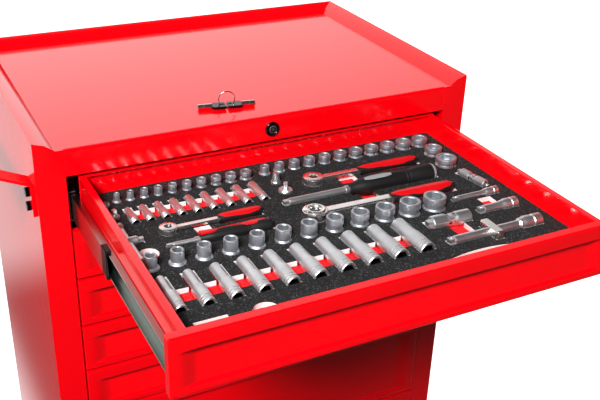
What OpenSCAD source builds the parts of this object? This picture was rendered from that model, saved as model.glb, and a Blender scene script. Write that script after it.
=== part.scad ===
// Rolling tool chest: a sheet-steel cabinet on four casters with seven drawers on
// ball-bearing slides, a side push handle, a central lock and a foam tool inlay.
// Origin: centre of the cabinet's footprint on the floor. +X right, +Y back, +Z up.

/* [Cabinet] */
// Outside width of the cabinet
cabinet_w = 680; // [600:1:900]
// Outside depth of the cabinet
cabinet_d = 452; // [430:1:600]
// Thickness of the folded sheet
sheet = 1.2; // [0.8:0.1:1.6]
// Width of the plain post each side of the drawers
post_w = 40; // [36:1:60]
// Depth of the fold behind each post
post_fold = 20; // [12:1:30]
// Height of the raised rim above the flat top
rim_h = 15; // [10:1:25]
// Height of the fascia that hangs below the flat top
fascia_h = 38; // [32:1:60]
// Height of the rail below the lowest drawer
bottom_rail_h = 27; // [20:1:60]

/* [Drawers] */
// Number of shallow drawers
small_count = 5; // [1:1:6]
// Number of deep drawers below them
large_count = 2; // [0:1:2]
// Height that one shallow drawer takes up
small_pitch = 80; // [72:1:100]
// Height that one deep drawer takes up
large_pitch = 160; // [110:1:200]
// Gap between neighbouring drawer fronts, and below the fascia
front_gap = 4; // [2:0.5:6]
// Gap between a drawer front and a post
front_side_gap = 2; // [1:0.5:4]
// Depth of the pressed drawer front
front_t = 12; // [10:1:16]
// How far the drawer fronts stand proud of the posts
front_proud = 2; // [0:0.5:6]
// Front-to-back length of a drawer, front included
drawer_d = 391; // [360:1:420]
// Clear height under a tray, down to the next drawer
tray_clear = 8; // [6:1:12]
// Width of the folded top edge of a tray's side walls
wall_w = 10; // [8:1:14]
// How far the top drawer stands open
open_by = 385; // [300:1:385]

/* [Slides] */
// Height of the outer slide member
slide_h = 45; // [36:1:48]
// Thickness of the slide across its three members
slide_t = 12.7; // [12:0.1:14]
// Length of the outer and inner slide members
slide_l = 400; // [350:10:400]
// Length of the intermediate slide member
mid_l = 370; // [320:10:380]
// Distance from a tray's top edge down to the slide's centre line
slide_drop = 49; // [40:1:50]

/* [Casters] */
// Wheel diameter
wheel_d = 125; // [100:5:140]
// Wheel width
wheel_w = 32; // [24:1:40]
// Floor to the underside of the cabinet
caster_h = 150; // [150:1:180]
// Offset of a swivelling wheel from its swivel axis
trail = 38; // [30:1:40]
// Distance from a side of the cabinet to a caster's centre
caster_inset_x = 70; // [60:1:100]
// Distance from the front or back of the cabinet to a caster's centre
caster_inset_y = 61; // [55:1:90]

/* [Handle and lock] */
// Diameter of the push handle's tube
handle_d = 25; // [20:1:32]
// How far the tube's centre stands out from the side panel
handle_out = 74; // [60:1:100]
// Width of the handle's flat arms
arm_w = 30; // [24:1:40]
// Thickness of the handle's flat arms
arm_t = 4; // [3:0.5:6]
// Diameter of the lock's cap
lock_d = 22; // [20:1:26]

/* [Foam inlay] */
// Height from a tray's top edge down to the foam
foam_drop = 31; // [28:1:34]
// Thickness of the black upper foam
foam_t = 7; // [6:1:9]
// Gap between the foam and the tools or the tray
foam_gap = 0.3; // [0.2:0.1:1]

/* [Hidden] */
DRAWERS = small_count + large_count;

red = "#e01010";
zinc = "#b8bcc0";
black = "#202020";
chrome = "#d4d6da";

// Heights, from the floor up
base_z = caster_h;
fascia_z = base_z + bottom_rail_h + small_count * small_pitch + large_count * large_pitch;
top_z = fascia_z + fascia_h;
rim_z = top_z + rim_h;
// Planes of the cabinet
side_x = cabinet_w / 2;
front_y = -cabinet_d / 2;
back_y = cabinet_d / 2;
opening_x = side_x - post_w;
// A drawer front, and the tray behind it
front_w = 2 * (opening_x - front_side_gap);
slide_side_gap = 0.3;
tray_x = opening_x - 4 - slide_t - slide_side_gap;
inner_x = tray_x - wall_w;
closed_y = front_y - front_proud;
tray_back = closed_y + drawer_d;
// Slides: the outer member's web stands on the uprights
rail_x = tray_x + slide_t + slide_side_gap;
rail_y = closed_y + front_t + 4;
mid_y = rail_y + 28;
rail_t = 1.2;
member_step = 3;
// Rim: run of the outer slope and of the inner slope, and height of the ridge
rim_out = 16.5;
rim_in = 13.5;
ridge_drop = 5;
rim_lap = 4;
rear_fold = 14;
rear_lip_h = 40;
bend_r = 6;
// Handle, measured from the rim
arm_in = 19;
arm_rise = 34;
arm_foot_z = rim_z - 114;
arm_bend_z = rim_z - 66;
handle_z = arm_bend_z + arm_rise;
bolt_zs = [rim_z - 82, rim_z - 103];
bolt_r = 4;
bolt_gap = 0.5;
nut_d = 15;
notch_gap = 0.3;
// Central lock: a rod from the key plug turns a crank that lifts a hooked bar
lock_z = top_z - 20;
plug_r = 6;
barrel_r = 9.5;
rod_r = 3;
crank_r = 11;
crank_t = 3;
pin_r = 2;
crank_rest = -45;
bar_y = tray_back + 27;
bar_w = 30;
bar_t = 3;
hook_drop = 18;
hook_reach = 16;
hook_t = 1.5;
tooth_h = 22;
bar_lift = 2 * crank_r * sin(45);
// Casters
wheel_r = wheel_d / 2;
caster_x = side_x - caster_inset_x;
caster_y = back_y - caster_inset_y;
plate_t = 3;
plate_w = 100;
plate_d = 84;
bolt_span_x = 80;
bolt_span_y = 60;
// The uprights stand round the casters' nuts in front, and near the slides' far ends
upright_d = 30;
upright_ys = [-caster_y - bolt_span_y / 2 - nut_d / 2 - sheet - 1.3, rail_y + slide_l - upright_d - 12];
raceway_r = 30;
fork_t = 3;
fork_gap = wheel_w / 2 + 2;
fork_top = base_z - 15;
axle_r = 5;
pedal_z = wheel_r + 24;
pedal_t = 3;
pivot_r = 3;
pivot_x = trail - 16;
pivot_z = pedal_z + 8;
// Foam
foam_top = -foam_drop;
tray_floor = sheet;
run_gap = 0.05;

// Drawer heights
function pitch(i) = i <= small_count ? small_pitch : large_pitch;
function slot_top(i) = i == 1 ? fascia_z : slot_top(i - 1) - pitch(i - 1);
function front_top(i) = slot_top(i) - front_gap;
function front_h(i) = pitch(i) - front_gap;
function tray_h(i) = front_h(i) - front_gap;
function slide_z(i) = front_top(i) - slide_drop;
function lift_z(i) = front_top(i) - 8;

// A path of points moved to its left by t, with mitred corners
function unit(v) = v / norm(v);
function normal(a, b) = let (d = unit(b - a)) [-d[1], d[0]];
function mitre(n, m) = (n + m) / (1 + n * m);
function moved(path, t) = let (last = len(path) - 1) [for (k = [0 : last])
    path[k] + t * (k == 0 ? normal(path[0], path[1])
                 : k == last ? normal(path[last - 1], path[last])
                 : mitre(normal(path[k - 1], path[k]), normal(path[k], path[k + 1])))];
function backwards(path) = [for (k = [len(path) - 1 : -1 : 0]) path[k]];
function outline(path, t) = concat(path, backwards(moved(path, t)));
function bend(centre, r, from, to, steps = 4) = [for (k = [0 : steps])
    let (a = from + (to - from) * k / steps) centre + r * [cos(a), sin(a)]];

// Sheet folded along a path, extruded along X, Y or Z from its low end
module folded_z(path, t, length) linear_extrude(length) polygon(outline(path, t));
module folded_y(path, t, length) translate([0, length, 0]) rotate([90, 0, 0]) folded_z(path, t, length);
module folded_x(path, t, length) rotate([90, 0, 90]) folded_z(path, t, length);
module rod_y(r, length) rotate([-90, 0, 0]) cylinder(r = r, h = length, $fn = 48);
module rod_x(r, length) rotate([0, 90, 0]) cylinder(r = r, h = length, $fn = 48);
module box(low, high) translate(low) cube(high - low);
module both_sides() {
    children();
    mirror([1, 0, 0]) children();
}

// --- Cabinet ---------------------------------------------------------------

// The rim's upper surface from its outer edge to a little way onto the flat top, in X and Z
function rim_path(x) = [[x, rim_z], [x - rim_out, rim_z - ridge_drop], [x - rim_out - rim_in, top_z],
    [x - rim_out - rim_in - rim_lap, top_z]];

// One side: rear fold, side wall, post and the fold behind the post
module side_sheet() difference() {
    translate([0, 0, base_z]) folded_z(
        [[side_x - rear_fold, back_y], [side_x, back_y], [side_x, front_y], [opening_x, front_y],
         [opening_x, front_y + post_fold]], -sheet, rim_z - base_z);
    // The top of the post follows the rim's slope
    translate([0, back_y + 1, 0]) rotate([90, 0, 0]) linear_extrude(cabinet_d + 2)
        polygon(concat(moved(rim_path(side_x), sheet),
            [[opening_x - 1, top_z - sheet], [opening_x - 1, rim_z + 1], [side_x + 1, rim_z + 1],
             [side_x + 1, rim_z - sheet]]));
}

// The left panel is drilled for the handle's bolts
module left_side_panel() color(red) mirror([1, 0, 0]) difference() {
    side_sheet();
    for (y = [front_y + arm_in, back_y - arm_in - arm_w], z = bolt_zs)
        translate([side_x - 5, y + arm_w / 2, z]) rod_x(bolt_r + bolt_gap, 10);
}

module right_side_panel() color(red) side_sheet();

module back_panel() color(red) {
    box([-side_x + sheet, back_y - 2 * sheet, base_z + sheet],
        [side_x - sheet, back_y - sheet, top_z - sheet]);
    // Guides that hold the lock bar
    for (z = [front_top(1) - small_pitch * 0.85, front_top(DRAWERS) - 20])
        translate([0, 0, z]) folded_z(
            [[-bar_w / 2 - 12, back_y - 2 * sheet], [-bar_w / 2 - 2, back_y - 2 * sheet],
             [-bar_w / 2 - 2, bar_y - 1.8], [bar_w / 2 + 2, bar_y - 1.8],
             [bar_w / 2 + 2, back_y - 2 * sheet], [bar_w / 2 + 12, back_y - 2 * sheet]], -sheet, 12);
}

// Flat top with a fascia in front and a sloping rim on its other three sides
module top_panel() color(red) {
    arc = bend([front_y + bend_r, top_z - bend_r], bend_r, 90, 180);
    difference() {
        translate([-opening_x, 0, 0]) folded_x(
            concat([[back_y - rim_out - rim_in, top_z]], arc,
                [[front_y, fascia_z], [front_y + 12, fascia_z]]), sheet, 2 * opening_x);
        translate([0, front_y - 1, lock_z]) rod_y(barrel_r, sheet + 2);
    }
    both_sides() {
        // The flat strip between the fascia's end and the rim
        box([opening_x, front_y + sheet, top_z - sheet],
            [side_x - rim_out - rim_in, back_y - rim_out - rim_in, top_z]);
        intersection() {
            translate([0, front_y + sheet, 0]) folded_y(rim_path(side_x), sheet, cabinet_d);
            linear_extrude(rim_z + 1) polygon([[side_x - 60, front_y], [side_x, front_y],
                [side_x, back_y], [side_x - 60, back_y - 60]]);
        }
    }
    intersection() {
        translate([-side_x, 0, 0]) folded_x(rim_path(back_y), sheet, cabinet_w);
        linear_extrude(rim_z + 1) polygon([[-side_x, back_y], [side_x, back_y],
            [side_x - 60, back_y - 60], [60 - side_x, back_y - 60]]);
    }
    // Lip that closes the rim against the back panel
    box([rear_fold - side_x, back_y - sheet, rim_z - rear_lip_h], [side_x - rear_fold, back_y, rim_z - sheet / 2]);
}

// Floor of the cabinet, with the rail under the lowest drawer; it is notched round the folds behind the posts
module base_panel() color(red) difference() {
    union() {
        box([-side_x + sheet, front_y + sheet, base_z], [side_x - sheet, back_y - sheet, base_z + sheet]);
        translate([-opening_x + sheet, 0, 0]) folded_x(
            [[front_y, base_z], [front_y, base_z + bottom_rail_h], [front_y + 12, base_z + bottom_rail_h]],
            -sheet, 2 * (opening_x - sheet));
        box([-opening_x + sheet, front_y, base_z], [opening_x - sheet, front_y + sheet, base_z + sheet]);
    }
    caster_places() plate_holes() translate([0, 0, base_z - 1]) cylinder(r = bolt_r + bolt_gap, h = 4, $fn = 32);
    both_sides() box([opening_x - notch_gap, front_y + sheet, base_z - 1],
        [opening_x + sheet + notch_gap, front_y + post_fold + notch_gap, base_z + sheet + 1]);
}

// Four folded channels that carry the slides
module slide_uprights() color(zinc) both_sides() for (y = upright_ys)
    translate([0, y, base_z + sheet]) folded_z(
        [[side_x - sheet, 0], [rail_x, 0], [rail_x, upright_d], [side_x - sheet, upright_d]], -sheet,
        fascia_z - base_z - 10);

// A slide member is a channel with rounded ball tracks left plain: web, then two flanges
module member(x, depth, h, length) folded_y(
    [[x - depth, h / 2], [x, h / 2], [x, -h / 2], [x - depth, -h / 2]], -rail_t, length);

module fixed_slide_rails() color(zinc) both_sides() for (i = [1 : DRAWERS])
    translate([0, rail_y, slide_z(i)]) member(rail_x, slide_t - 3, slide_h, slide_l);

module mid_runners(i, shift) color(zinc) both_sides()
    translate([0, mid_y - shift, slide_z(i)])
        member(rail_x - rail_t - 1, slide_t - 5, slide_h - 2 * member_step, mid_l);

// The inner member opens the other way, with its web on the tray
module runners(i, shift) color(zinc) both_sides()
    translate([0, rail_y - shift, slide_z(i)])
        translate([2 * tray_x, 0, 0]) mirror([1, 0, 0])
            member(tray_x, slide_t - 4.5, slide_h - 4 * member_step, slide_l - 12);

// --- Handle, lock and keys ---------------------------------------------------

module push_handle() color(red) mirror([1, 0, 0]) {
    tube_x = side_x + handle_out;
    for (y = [front_y + arm_in, back_y - arm_in - arm_w]) difference() {
        union() {
            translate([0, y, 0]) folded_y(
                [[side_x, arm_foot_z], [side_x, arm_bend_z], [tube_x, handle_z]], -arm_t, arm_w);
            translate([tube_x, y, handle_z]) rod_y(handle_d / 2 + arm_t, arm_w);
        }
        translate([tube_x, y - 1, handle_z]) rod_y(handle_d / 2, arm_w + 2);
        for (z = bolt_zs) translate([side_x - 1, y + arm_w / 2, z]) rod_x(bolt_r + bolt_gap, arm_t + 2);
    }
    translate([tube_x, front_y + arm_in - 4, handle_z]) difference() {
        rod_y(handle_d / 2, cabinet_d - 2 * arm_in + 8);
        translate([0, 3, 0]) rod_y(handle_d / 2 - 2, cabinet_d - 2 * arm_in + 2);
    }
}

module handle_bolts() color(black) mirror([1, 0, 0])
    for (y = [front_y + arm_in, back_y - arm_in - arm_w] + [arm_w / 2, arm_w / 2], z = bolt_zs)
        translate([side_x, y, z]) {
            translate([-sheet - 8, 0, 0]) rod_x(bolt_r, 8 + sheet + arm_t);
            translate([arm_t, 0, 0]) rotate([0, 90, 0]) cylinder(d = nut_d, h = 5.3, $fn = 6);
            translate([-sheet - 6.5, 0, 0]) rotate([0, 90, 0]) difference() {
                cylinder(d = nut_d, h = 6.5, $fn = 6);
                translate([0, 0, -1]) cylinder(r = bolt_r, h = 9, $fn = 32);
            }
        }

module lock_barrel() color(black) translate([0, front_y, lock_z]) difference() {
    union() {
        translate([0, -3, 0]) rod_y(lock_d / 2, 3);
        rod_y(barrel_r, 24);
    }
    translate([0, -4, 0]) rod_y(plug_r + run_gap, 30);
}

// Key plug with its drive rod, and at the rod's far end the crank and crank pin
module lock_plug() color(chrome) translate([0, 0, lock_z]) {
    difference() {
        translate([0, front_y - 3, 0]) rod_y(plug_r, 30);
        translate([0, front_y - 4, 0]) difference() {
            rod_y(4, 5);
            rod_y(2.6, 6);
        }
    }
    translate([0, front_y + 27, 0]) rod_y(rod_r, bar_y - 4 - front_y - 27);
    translate([0, bar_y - 4 - crank_t, 0]) rotate([0, -crank_rest, 0]) {
        rod_y(rod_r + 2, crank_t);
        box([0, 0, -3], [crank_r, crank_t, 3]);
        translate([crank_r, 0, 0]) rod_y(pin_r, crank_t + 4 + bar_t + 1);
        translate([crank_r, 0, 0]) rod_y(pin_r + 1.5, crank_t);
    }
}

// Flat bar with one upturned tooth for each drawer, and a slot for the crank pin
module lock_bar() color(zinc) {
    pin_z = lock_z + crank_r * sin(crank_rest);
    slot_h = 2 * pin_r + 1.2;
    difference() {
        union() {
            box([-bar_w / 2, bar_y, base_z + 40], [bar_w / 2, bar_y + bar_t, pin_z + slot_h / 2 + 4]);
            for (i = [1 : DRAWERS]) {
                shelf_z = lift_z(i) - hook_drop - 3 - tooth_h;
                box([-6, tray_back + 7, shelf_z], [6, bar_y, shelf_z + 2]);
                box([-6, tray_back + 7, shelf_z], [6, tray_back + 9, shelf_z + tooth_h]);
            }
        }
        box([2, bar_y - 1, pin_z - slot_h / 2], [bar_w / 2 - 0.8, bar_y + bar_t + 1, pin_z + slot_h / 2]);
    }
}

// Two keys joined by a ring, lying on the top
key_place = [-48, front_y + 55];
key_turn = -9.5;
shank_r = 4;
head_t = 3.2;
ring_r = 12;
wire_r = 0.9;
head_in = 1.5;
head_out = 23;
shank_out = 42;
module keys_frame() translate([key_place[0], key_place[1], top_z]) rotate([0, 0, key_turn]) children();

module key_shanks() color(chrome) keys_frame() both_sides()
    translate([head_out, 0, shank_r]) difference() {
        rod_x(shank_r, shank_out - head_out);
        translate([shank_out - head_out - 10, 0, 0]) rod_x(shank_r - 1.2, 12);
    }

module key_heads() color(black) keys_frame() both_sides() translate([0, 0, shank_r - head_t / 2])
    difference() {
        intersection() {
            box([head_in, -9, 0], [head_out, 9, head_t]);
            translate([head_out / 2, 0, 0]) cylinder(r = 12.5, h = head_t, $fn = 48);
        }
        box([head_in + 1.7, -1.8, -1], [11, 1.8, head_t + 1]);
    }

module key_ring() color(chrome) keys_frame() translate([0, 0, ring_r + wire_r + 0.05]) rotate([90, 0, 0])
    rotate_extrude($fn = 64) translate([ring_r, 0]) circle(r = wire_r, $fn = 16);

// --- Casters -----------------------------------------------------------------

module caster_places() for (x = [-caster_x, caster_x], y = [-caster_y, caster_y]) translate([x, y, 0]) children();
module plate_holes() for (x = [-1, 1], y = [-1, 1])
    translate([x * bolt_span_x / 2, y * bolt_span_y / 2, 0]) children();

module caster_plate() difference() {
    translate([-plate_w / 2, -plate_d / 2, base_z - plate_t]) cube([plate_w, plate_d, plate_t]);
    plate_holes() translate([0, 0, base_z - plate_t - 1]) cylinder(r = bolt_r + bolt_gap, h = plate_t + 2, $fn = 32);
}

// Two legs on a crown; the wheel's axle is offset along +X
module fork(offset, crown_top) difference() {
    union() {
        for (s = [-1, 1]) translate([0, s > 0 ? fork_gap + fork_t : -fork_gap, 0]) rotate([90, 0, 0])
            linear_extrude(fork_t) polygon([[-28, crown_top], [28, crown_top], [offset + 14, wheel_r - 4],
                [offset + 8, wheel_r - 14], [offset - 8, wheel_r - 14], [offset - 14, wheel_r - 4]]);
        translate([-28, -fork_gap - fork_t, crown_top - fork_t]) cube([56, 2 * (fork_gap + fork_t), fork_t]);
    }
    translate([offset, -fork_gap - fork_t - 1, wheel_r]) rod_y(axle_r + run_gap, 2 * (fork_gap + fork_t) + 2);
}

module axle(offset) translate([offset, 0, wheel_r]) {
    translate([0, -fork_gap - fork_t, 0]) rod_y(axle_r, 2 * (fork_gap + fork_t));
    for (s = [0, 1]) mirror([0, s, 0]) translate([0, fork_gap + fork_t, 0]) rotate([-90, 0, 0])
        cylinder(d = 18, h = 5, $fn = 6);
}

// Rubber tyre on a plastic core with a hub bore
module wheel(offset) translate([offset, 0, wheel_r]) {
    color("#3a3a3e") rotate([90, 0, 0]) rotate_extrude($fn = 96) polygon([[wheel_r - 14, -wheel_w / 2],
        [wheel_r - 4, -wheel_w / 2], [wheel_r, -wheel_w / 2 + 6], [wheel_r, wheel_w / 2 - 6],
        [wheel_r - 4, wheel_w / 2], [wheel_r - 14, wheel_w / 2]]);
    color("#8a8d90") rotate([90, 0, 0]) rotate_extrude($fn = 96) polygon([[axle_r + run_gap, -wheel_w / 2],
        [14, -wheel_w / 2], [18, -5], [wheel_r - 20, -5], [wheel_r - 16, -wheel_w / 2 + 1],
        [wheel_r - 14, -wheel_w / 2 + 1], [wheel_r - 14, wheel_w / 2 - 1], [wheel_r - 16, wheel_w / 2 - 1],
        [wheel_r - 20, 5], [18, 5], [14, wheel_w / 2], [axle_r + run_gap, wheel_w / 2]]);
}

module fixed_caster_forks() color(zinc) for (y = [-caster_y, caster_y]) translate([caster_x, y, 0]) {
    caster_plate();
    fork(0, base_z - plate_t);
}

module swivel_caster_plates() color(zinc) for (y = [-caster_y, caster_y]) translate([-caster_x, y, 0]) {
    caster_plate();
    translate([0, 0, fork_top + 0.3]) difference() {
        cylinder(r = raceway_r, h = base_z - plate_t - fork_top - 0.3, $fn = 64);
        translate([0, 0, -1]) cylinder(r = 7, h = base_z - plate_t - fork_top + 1, $fn = 32);
    }
}

// Plate bolts with nuts, and the axles of the two fixed casters
module caster_fasteners() color(zinc) {
    caster_places() plate_holes() {
        translate([0, 0, base_z - plate_t - 8]) cylinder(r = bolt_r, h = plate_t + sheet + 8, $fn = 32);
        translate([0, 0, base_z + sheet]) cylinder(d = nut_d, h = 5, $fn = 6);
        translate([0, 0, base_z - plate_t - 6.5]) difference() {
            cylinder(d = nut_d, h = 6.5, $fn = 6);
            translate([0, 0, -1]) cylinder(r = bolt_r, h = 9, $fn = 32);
        }
    }
    for (y = [-caster_y, caster_y]) translate([caster_x, y, 0]) axle(0);
}

module swivel_place(s) translate([-caster_x, s * caster_y, 0]) children();

// Fork with its kingpin, which turns in the plate's raceway, and the studs that the brake pedal turns on
module swivel_fork(s) color(zinc) swivel_place(s) {
    fork(trail, fork_top);
    translate([0, 0, fork_top - fork_t]) cylinder(r = 7 - run_gap, h = fork_t + 10, $fn = 32);
    for (k = [0, 1]) mirror([0, k, 0]) translate([pivot_x, fork_gap + fork_t, pivot_z]) rod_y(pivot_r, pedal_t + 1.4);
}
module swivel_axle(s) color(zinc) swivel_place(s) axle(trail);
module swivel_wheel(s) swivel_place(s) wheel(trail);
module fixed_wheel(s) translate([caster_x, s * caster_y, 0]) wheel(0);

// Pedal pivoted on the fork's legs, with a foot pad that presses on the tyre
module brake_pedal(s) color("#b01818") swivel_place(s) {
    pad_x = trail + wheel_r + 1;
    reach = pad_x + 18;
    cheek_y = fork_gap + fork_t + 0.4;
    for (k = [0, 1]) mirror([0, k, 0]) difference() {
        translate([0, cheek_y + pedal_t, 0]) rotate([90, 0, 0]) linear_extrude(pedal_t)
            polygon([[trail - 24, pedal_z + 12], [trail - 8, pedal_z + 14], [reach, pedal_z + 4],
                [reach, pedal_z - 3], [trail - 14, pedal_z + 2]]);
        translate([pivot_x, cheek_y - 1, pivot_z]) rod_y(pivot_r + run_gap, pedal_t + 2);
    }
    box([pad_x, -cheek_y - pedal_t, pedal_z + 1], [reach, cheek_y + pedal_t, pedal_z + 1 + pedal_t]);
}

// --- Drawers -----------------------------------------------------------------

// Front pressed from sheet: top flange, pull band, groove, recessed face and lower lip.
// It is drawn with its outer face on Y = 0 and its top on Z = 0.
band_h = 20;
groove_in = 10;
end_w = 14;
lip_h = 9;
slope_h = 15;
module front_sheet(h) {
    path = [[front_t, 0], [0, 0], [0, -band_h], [groove_in - 1, -band_h - 4], [groove_in - 1, -h + lip_h + slope_h],
            [0, -h + lip_h], [0, -h], [front_t, -h]];
    plain = [[front_t, 0], [0, 0], [0, -h], [front_t, -h]];
    half = front_w / 2;
    translate([-half + end_w, 0, 0]) folded_x(path, sheet, front_w - 2 * end_w);
    both_sides() {
        translate([half - end_w, 0, 0]) folded_x(plain, sheet, end_w);
        box([half - sheet, 0, -h], [half, front_t, 0]);
        box([half - end_w, 0, -h], [half - end_w + sheet, groove_in, 0]);
    }
}

// Tray: floor, folded double side walls, front and rear walls and the lock's hook.
// It is drawn from Y = front_t, behind the front, to Y = drawer_d.
module tray_sheet(h) {
    both_sides() {
        box([tray_x - sheet, front_t, -h], [tray_x, drawer_d, 0]);
        box([inner_x, front_t, -sheet], [tray_x, drawer_d, 0]);
        box([inner_x, front_t, -h], [inner_x + sheet, drawer_d, 0]);
    }
    box([-tray_x, front_t, -h], [tray_x, drawer_d, -h + sheet]);
    box([-tray_x, front_t, -h], [tray_x, front_t + sheet, 0]);
    box([-tray_x, drawer_d - sheet, -h], [tray_x, drawer_d, 0]);
    box([-10, drawer_d, -8 - hook_t], [10, drawer_d + hook_reach, -8]);
    box([-10, drawer_d + hook_reach - hook_t, -8 - hook_drop], [10, drawer_d + hook_reach, -8]);
}

module drawer_place(i, shift) translate([0, closed_y - shift, front_top(i)]) children();
module in_drawer_1() drawer_place(1, open_by) children();

module drawer_1_tray() color(red) in_drawer_1() tray_sheet(tray_h(1));
module drawer_1_front() color(red) in_drawer_1() front_sheet(front_h(1));
module drawer(i) color(red) drawer_place(i, 0) {
    tray_sheet(tray_h(i));
    front_sheet(front_h(i));
}

// --- Tools in the top drawer ---------------------------------------------------
// X across the drawer, Y back from the front's outer face, Z up from the tray's top edge.

// Upright socket: drive end down, mouth up
module upright_socket(drive_r, mouth_r, h, low) translate([0, 0, low]) difference() {
    union() {
        cylinder(r = drive_r, h = h * 0.45, $fn = 48);
        translate([0, 0, h * 0.45]) cylinder(r = mouth_r, h = h * 0.55, $fn = 48);
    }
    translate([0, 0, h * 0.5]) cylinder(r = mouth_r * 0.74, h = h, $fn = 6);
}

// Deep socket lying along Y: its mouth, the wider end, to the front
module deep_socket(mouth_r, drive_r, l, axis_z) translate([0, 0, axis_z]) difference() {
    union() {
        rod_y(mouth_r, l * 0.5);
        translate([0, l * 0.5, 0]) rod_y(drive_r, l * 0.5);
    }
    translate([0, -1, 0]) rotate([-90, 0, 0]) cylinder(r = mouth_r * 0.76, h = l * 0.3 + 1, $fn = 6);
    translate([-drive_r * 0.45, l - 8, -drive_r * 0.45]) cube([drive_r * 0.9, 9, drive_r * 0.9]);
}

// Layouts: [x, y, drive radius, mouth radius]
small_h = 25;
large_h = 38;
small_low = foam_top - 13;
large_low = foam_top - 20;
function row_a(i) = [-260.5 + 18 * i + 0.24 * i * i, 359 - 0.5 * i, 5.9, 3.8 + 0.43 * i];
function row_b(i) = [-25 + 23 * i + 0.315 * i * i, 358 - 0.04 * i * i, 8.4, 6.6 + 0.55 * i];
tail = [[237, 317, 9, 13], [234, 279, 11, 15.5]];
function row_l(i) = let(mouth = 8 + 0.36 * i + 0.0026 * i * i * i)
    [-255 + 33 * i + 0.27 * i * i, 182 - 0.8 * i, max(10.8, mouth - 1), mouth];
small_layout = concat([for (i = [1 : 10]) row_a(i)], [for (i = [0 : 10]) row_b(i)], tail);
large_layout = [for (i = [0 : 11]) row_l(i)];
// Deep rows: [x, y of the mouth, length, mouth radius, drive radius]
small_deep_layout = [for (i = [0 : 8]) [-236.5 + 20 * i + 0.3 * i * i, 292 - i, 42 + i, 6, 3.9 + 0.35 * i]];
large_deep_layout = [for (i = [0 : 9]) [-253.5 + 33.5 * i + 0.27 * i * i, 83.5 - 0.3 * i, 73, 8.4 + 0.36 * i, 5.8 + 0.56 * i]];
deep_axis = foam_top - 1;
// Ratchets: [x and y of the head, shaft end x, grip end x, head radius, drive radius, turn]
ratchet_layout = [[-207, 255, -139, -77, 12, 3.5, 0], [26, 306, 99, 200, 15, 4.5, -0.5],
    [-18, 216, 97, 200, 17.5, 6, -1]];
ratchet_axis = foam_top + 3;
// Bars along X: [x from, x to, y, shaft radius, head radius, head length]
bar_layout = [[175, 250, 178, 4, 6.5, 22], [188, 251, 138, 6, 8.5, 26], [103, 249, 86, 6, 9.5, 34]];
bar_axis = foam_top + 2;
grip_room = 3.5;
// Spinner handles: [tip x, grip start x, grip end x, y, shaft radius, grip radius]
spinner_layout = [[-222, -180, -80, 219, 3, 9, -1], [-42, 58, 200, 262, 5, 14, 0]];
// Small adapters standing in the foam: [x, y, radius]
adapter_layout = [[-261, 353, 7], [-258, 317, 7], [-23, 325, 7], [-22, 296, 10]];
// Universal joints: [x, y, length, radius, turn]
joint_layout = [[236, 250, 54, 7, -80], [102, 134, 66, 10, -2]];
slider_place = [171, 86];
t_bar = [-260, 197, 291];

module small_sockets() color(chrome) in_drawer_1() for (s = small_layout)
    translate([s[0], s[1], 0]) upright_socket(s[2], s[3], small_h, small_low);
module large_sockets() color(chrome) in_drawer_1() for (s = large_layout)
    translate([s[0], s[1], 0]) upright_socket(s[2], s[3], large_h, large_low);
module small_deep_sockets() color(chrome) in_drawer_1() for (s = small_deep_layout)
    translate([s[0], s[1], 0]) deep_socket(s[3], s[4], s[2], deep_axis);
module large_deep_sockets() color(chrome) in_drawer_1() for (s = large_deep_layout)
    translate([s[0], s[1], 0]) deep_socket(s[3], s[4], s[2], deep_axis);

// Round head, flat neck and shaft; the shaft runs on inside the grip
module ratchet(r) translate([r[0], r[1], ratchet_axis]) rotate([0, 0, r[6]]) {
    translate([0, 0, -r[4] * 0.4]) cylinder(r = r[4], h = r[4] * 0.8, $fn = 64);
    translate([r[4] * 0.8, 0, 0]) rod_x(r[5], r[2] - r[0] - r[4] * 0.8);
}
module ratchets() color(chrome) in_drawer_1() for (r = ratchet_layout) ratchet(r);

module tool_grips() color(black) in_drawer_1() {
    for (r = ratchet_layout) translate([r[0], r[1], ratchet_axis]) rotate([0, 0, r[6]])
        translate([r[2] - r[0], 0, 0]) rod_x(r[5] + 4, r[3] - r[2]);
    for (s = spinner_layout) translate([s[0], s[3], bar_axis]) rotate([0, 0, s[6]])
        translate([s[1] - s[0], 0, 0]) rod_x(s[5], s[2] - s[1]);
}

module extension_bars() color(chrome) in_drawer_1() {
    for (b = bar_layout) translate([b[0], b[2], bar_axis]) {
        rod_x(b[3], b[1] - b[0] - b[5]);
        translate([b[1] - b[0] - b[5], 0, 0]) rod_x(b[4], b[5]);
    }
    for (s = spinner_layout) translate([s[0], s[3], bar_axis]) rotate([0, 0, s[6]]) rod_x(s[4], s[1] - s[0]);
    // Sliding T-bar with its cross sleeve
    translate([t_bar[0], t_bar[1], bar_axis]) rod_y(3, t_bar[2] - t_bar[1]);
    translate([t_bar[0] - 8, t_bar[1] + 50, bar_axis]) rod_x(6, 26);
}

module adapters() color(chrome) in_drawer_1() {
    for (a = adapter_layout) translate([a[0], a[1], foam_top - 8]) {
        cylinder(r = a[2], h = 12, $fn = 48);
        translate([-3, -3, 12]) cube([6, 6, 7]);
    }
    for (j = joint_layout) translate([j[0], j[1], bar_axis]) rotate([0, 0, j[4]]) rod_x(j[3], j[2]);
    // Sliding head across the long bar
    translate([slider_place[0], slider_place[1], bar_axis]) difference() {
        translate([-6, -19, -9]) cube([12, 38, 18]);
        translate([-7, 0, 0]) rod_x(6 + foam_gap, 14);
    }
}

// Pockets are the tools' own outlines plus the foam gap, so they follow the layouts in both layers
module lying_pocket_y(x, y, l, r, axis_z) box([x - r - foam_gap, y - foam_gap, axis_z - r - foam_gap],
    [x + r + foam_gap, y + l + foam_gap, 1]);
module lying_pocket_x(l, r) box([-foam_gap, -r - foam_gap, -r - foam_gap], [l + foam_gap, r + foam_gap, 40]);

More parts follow.
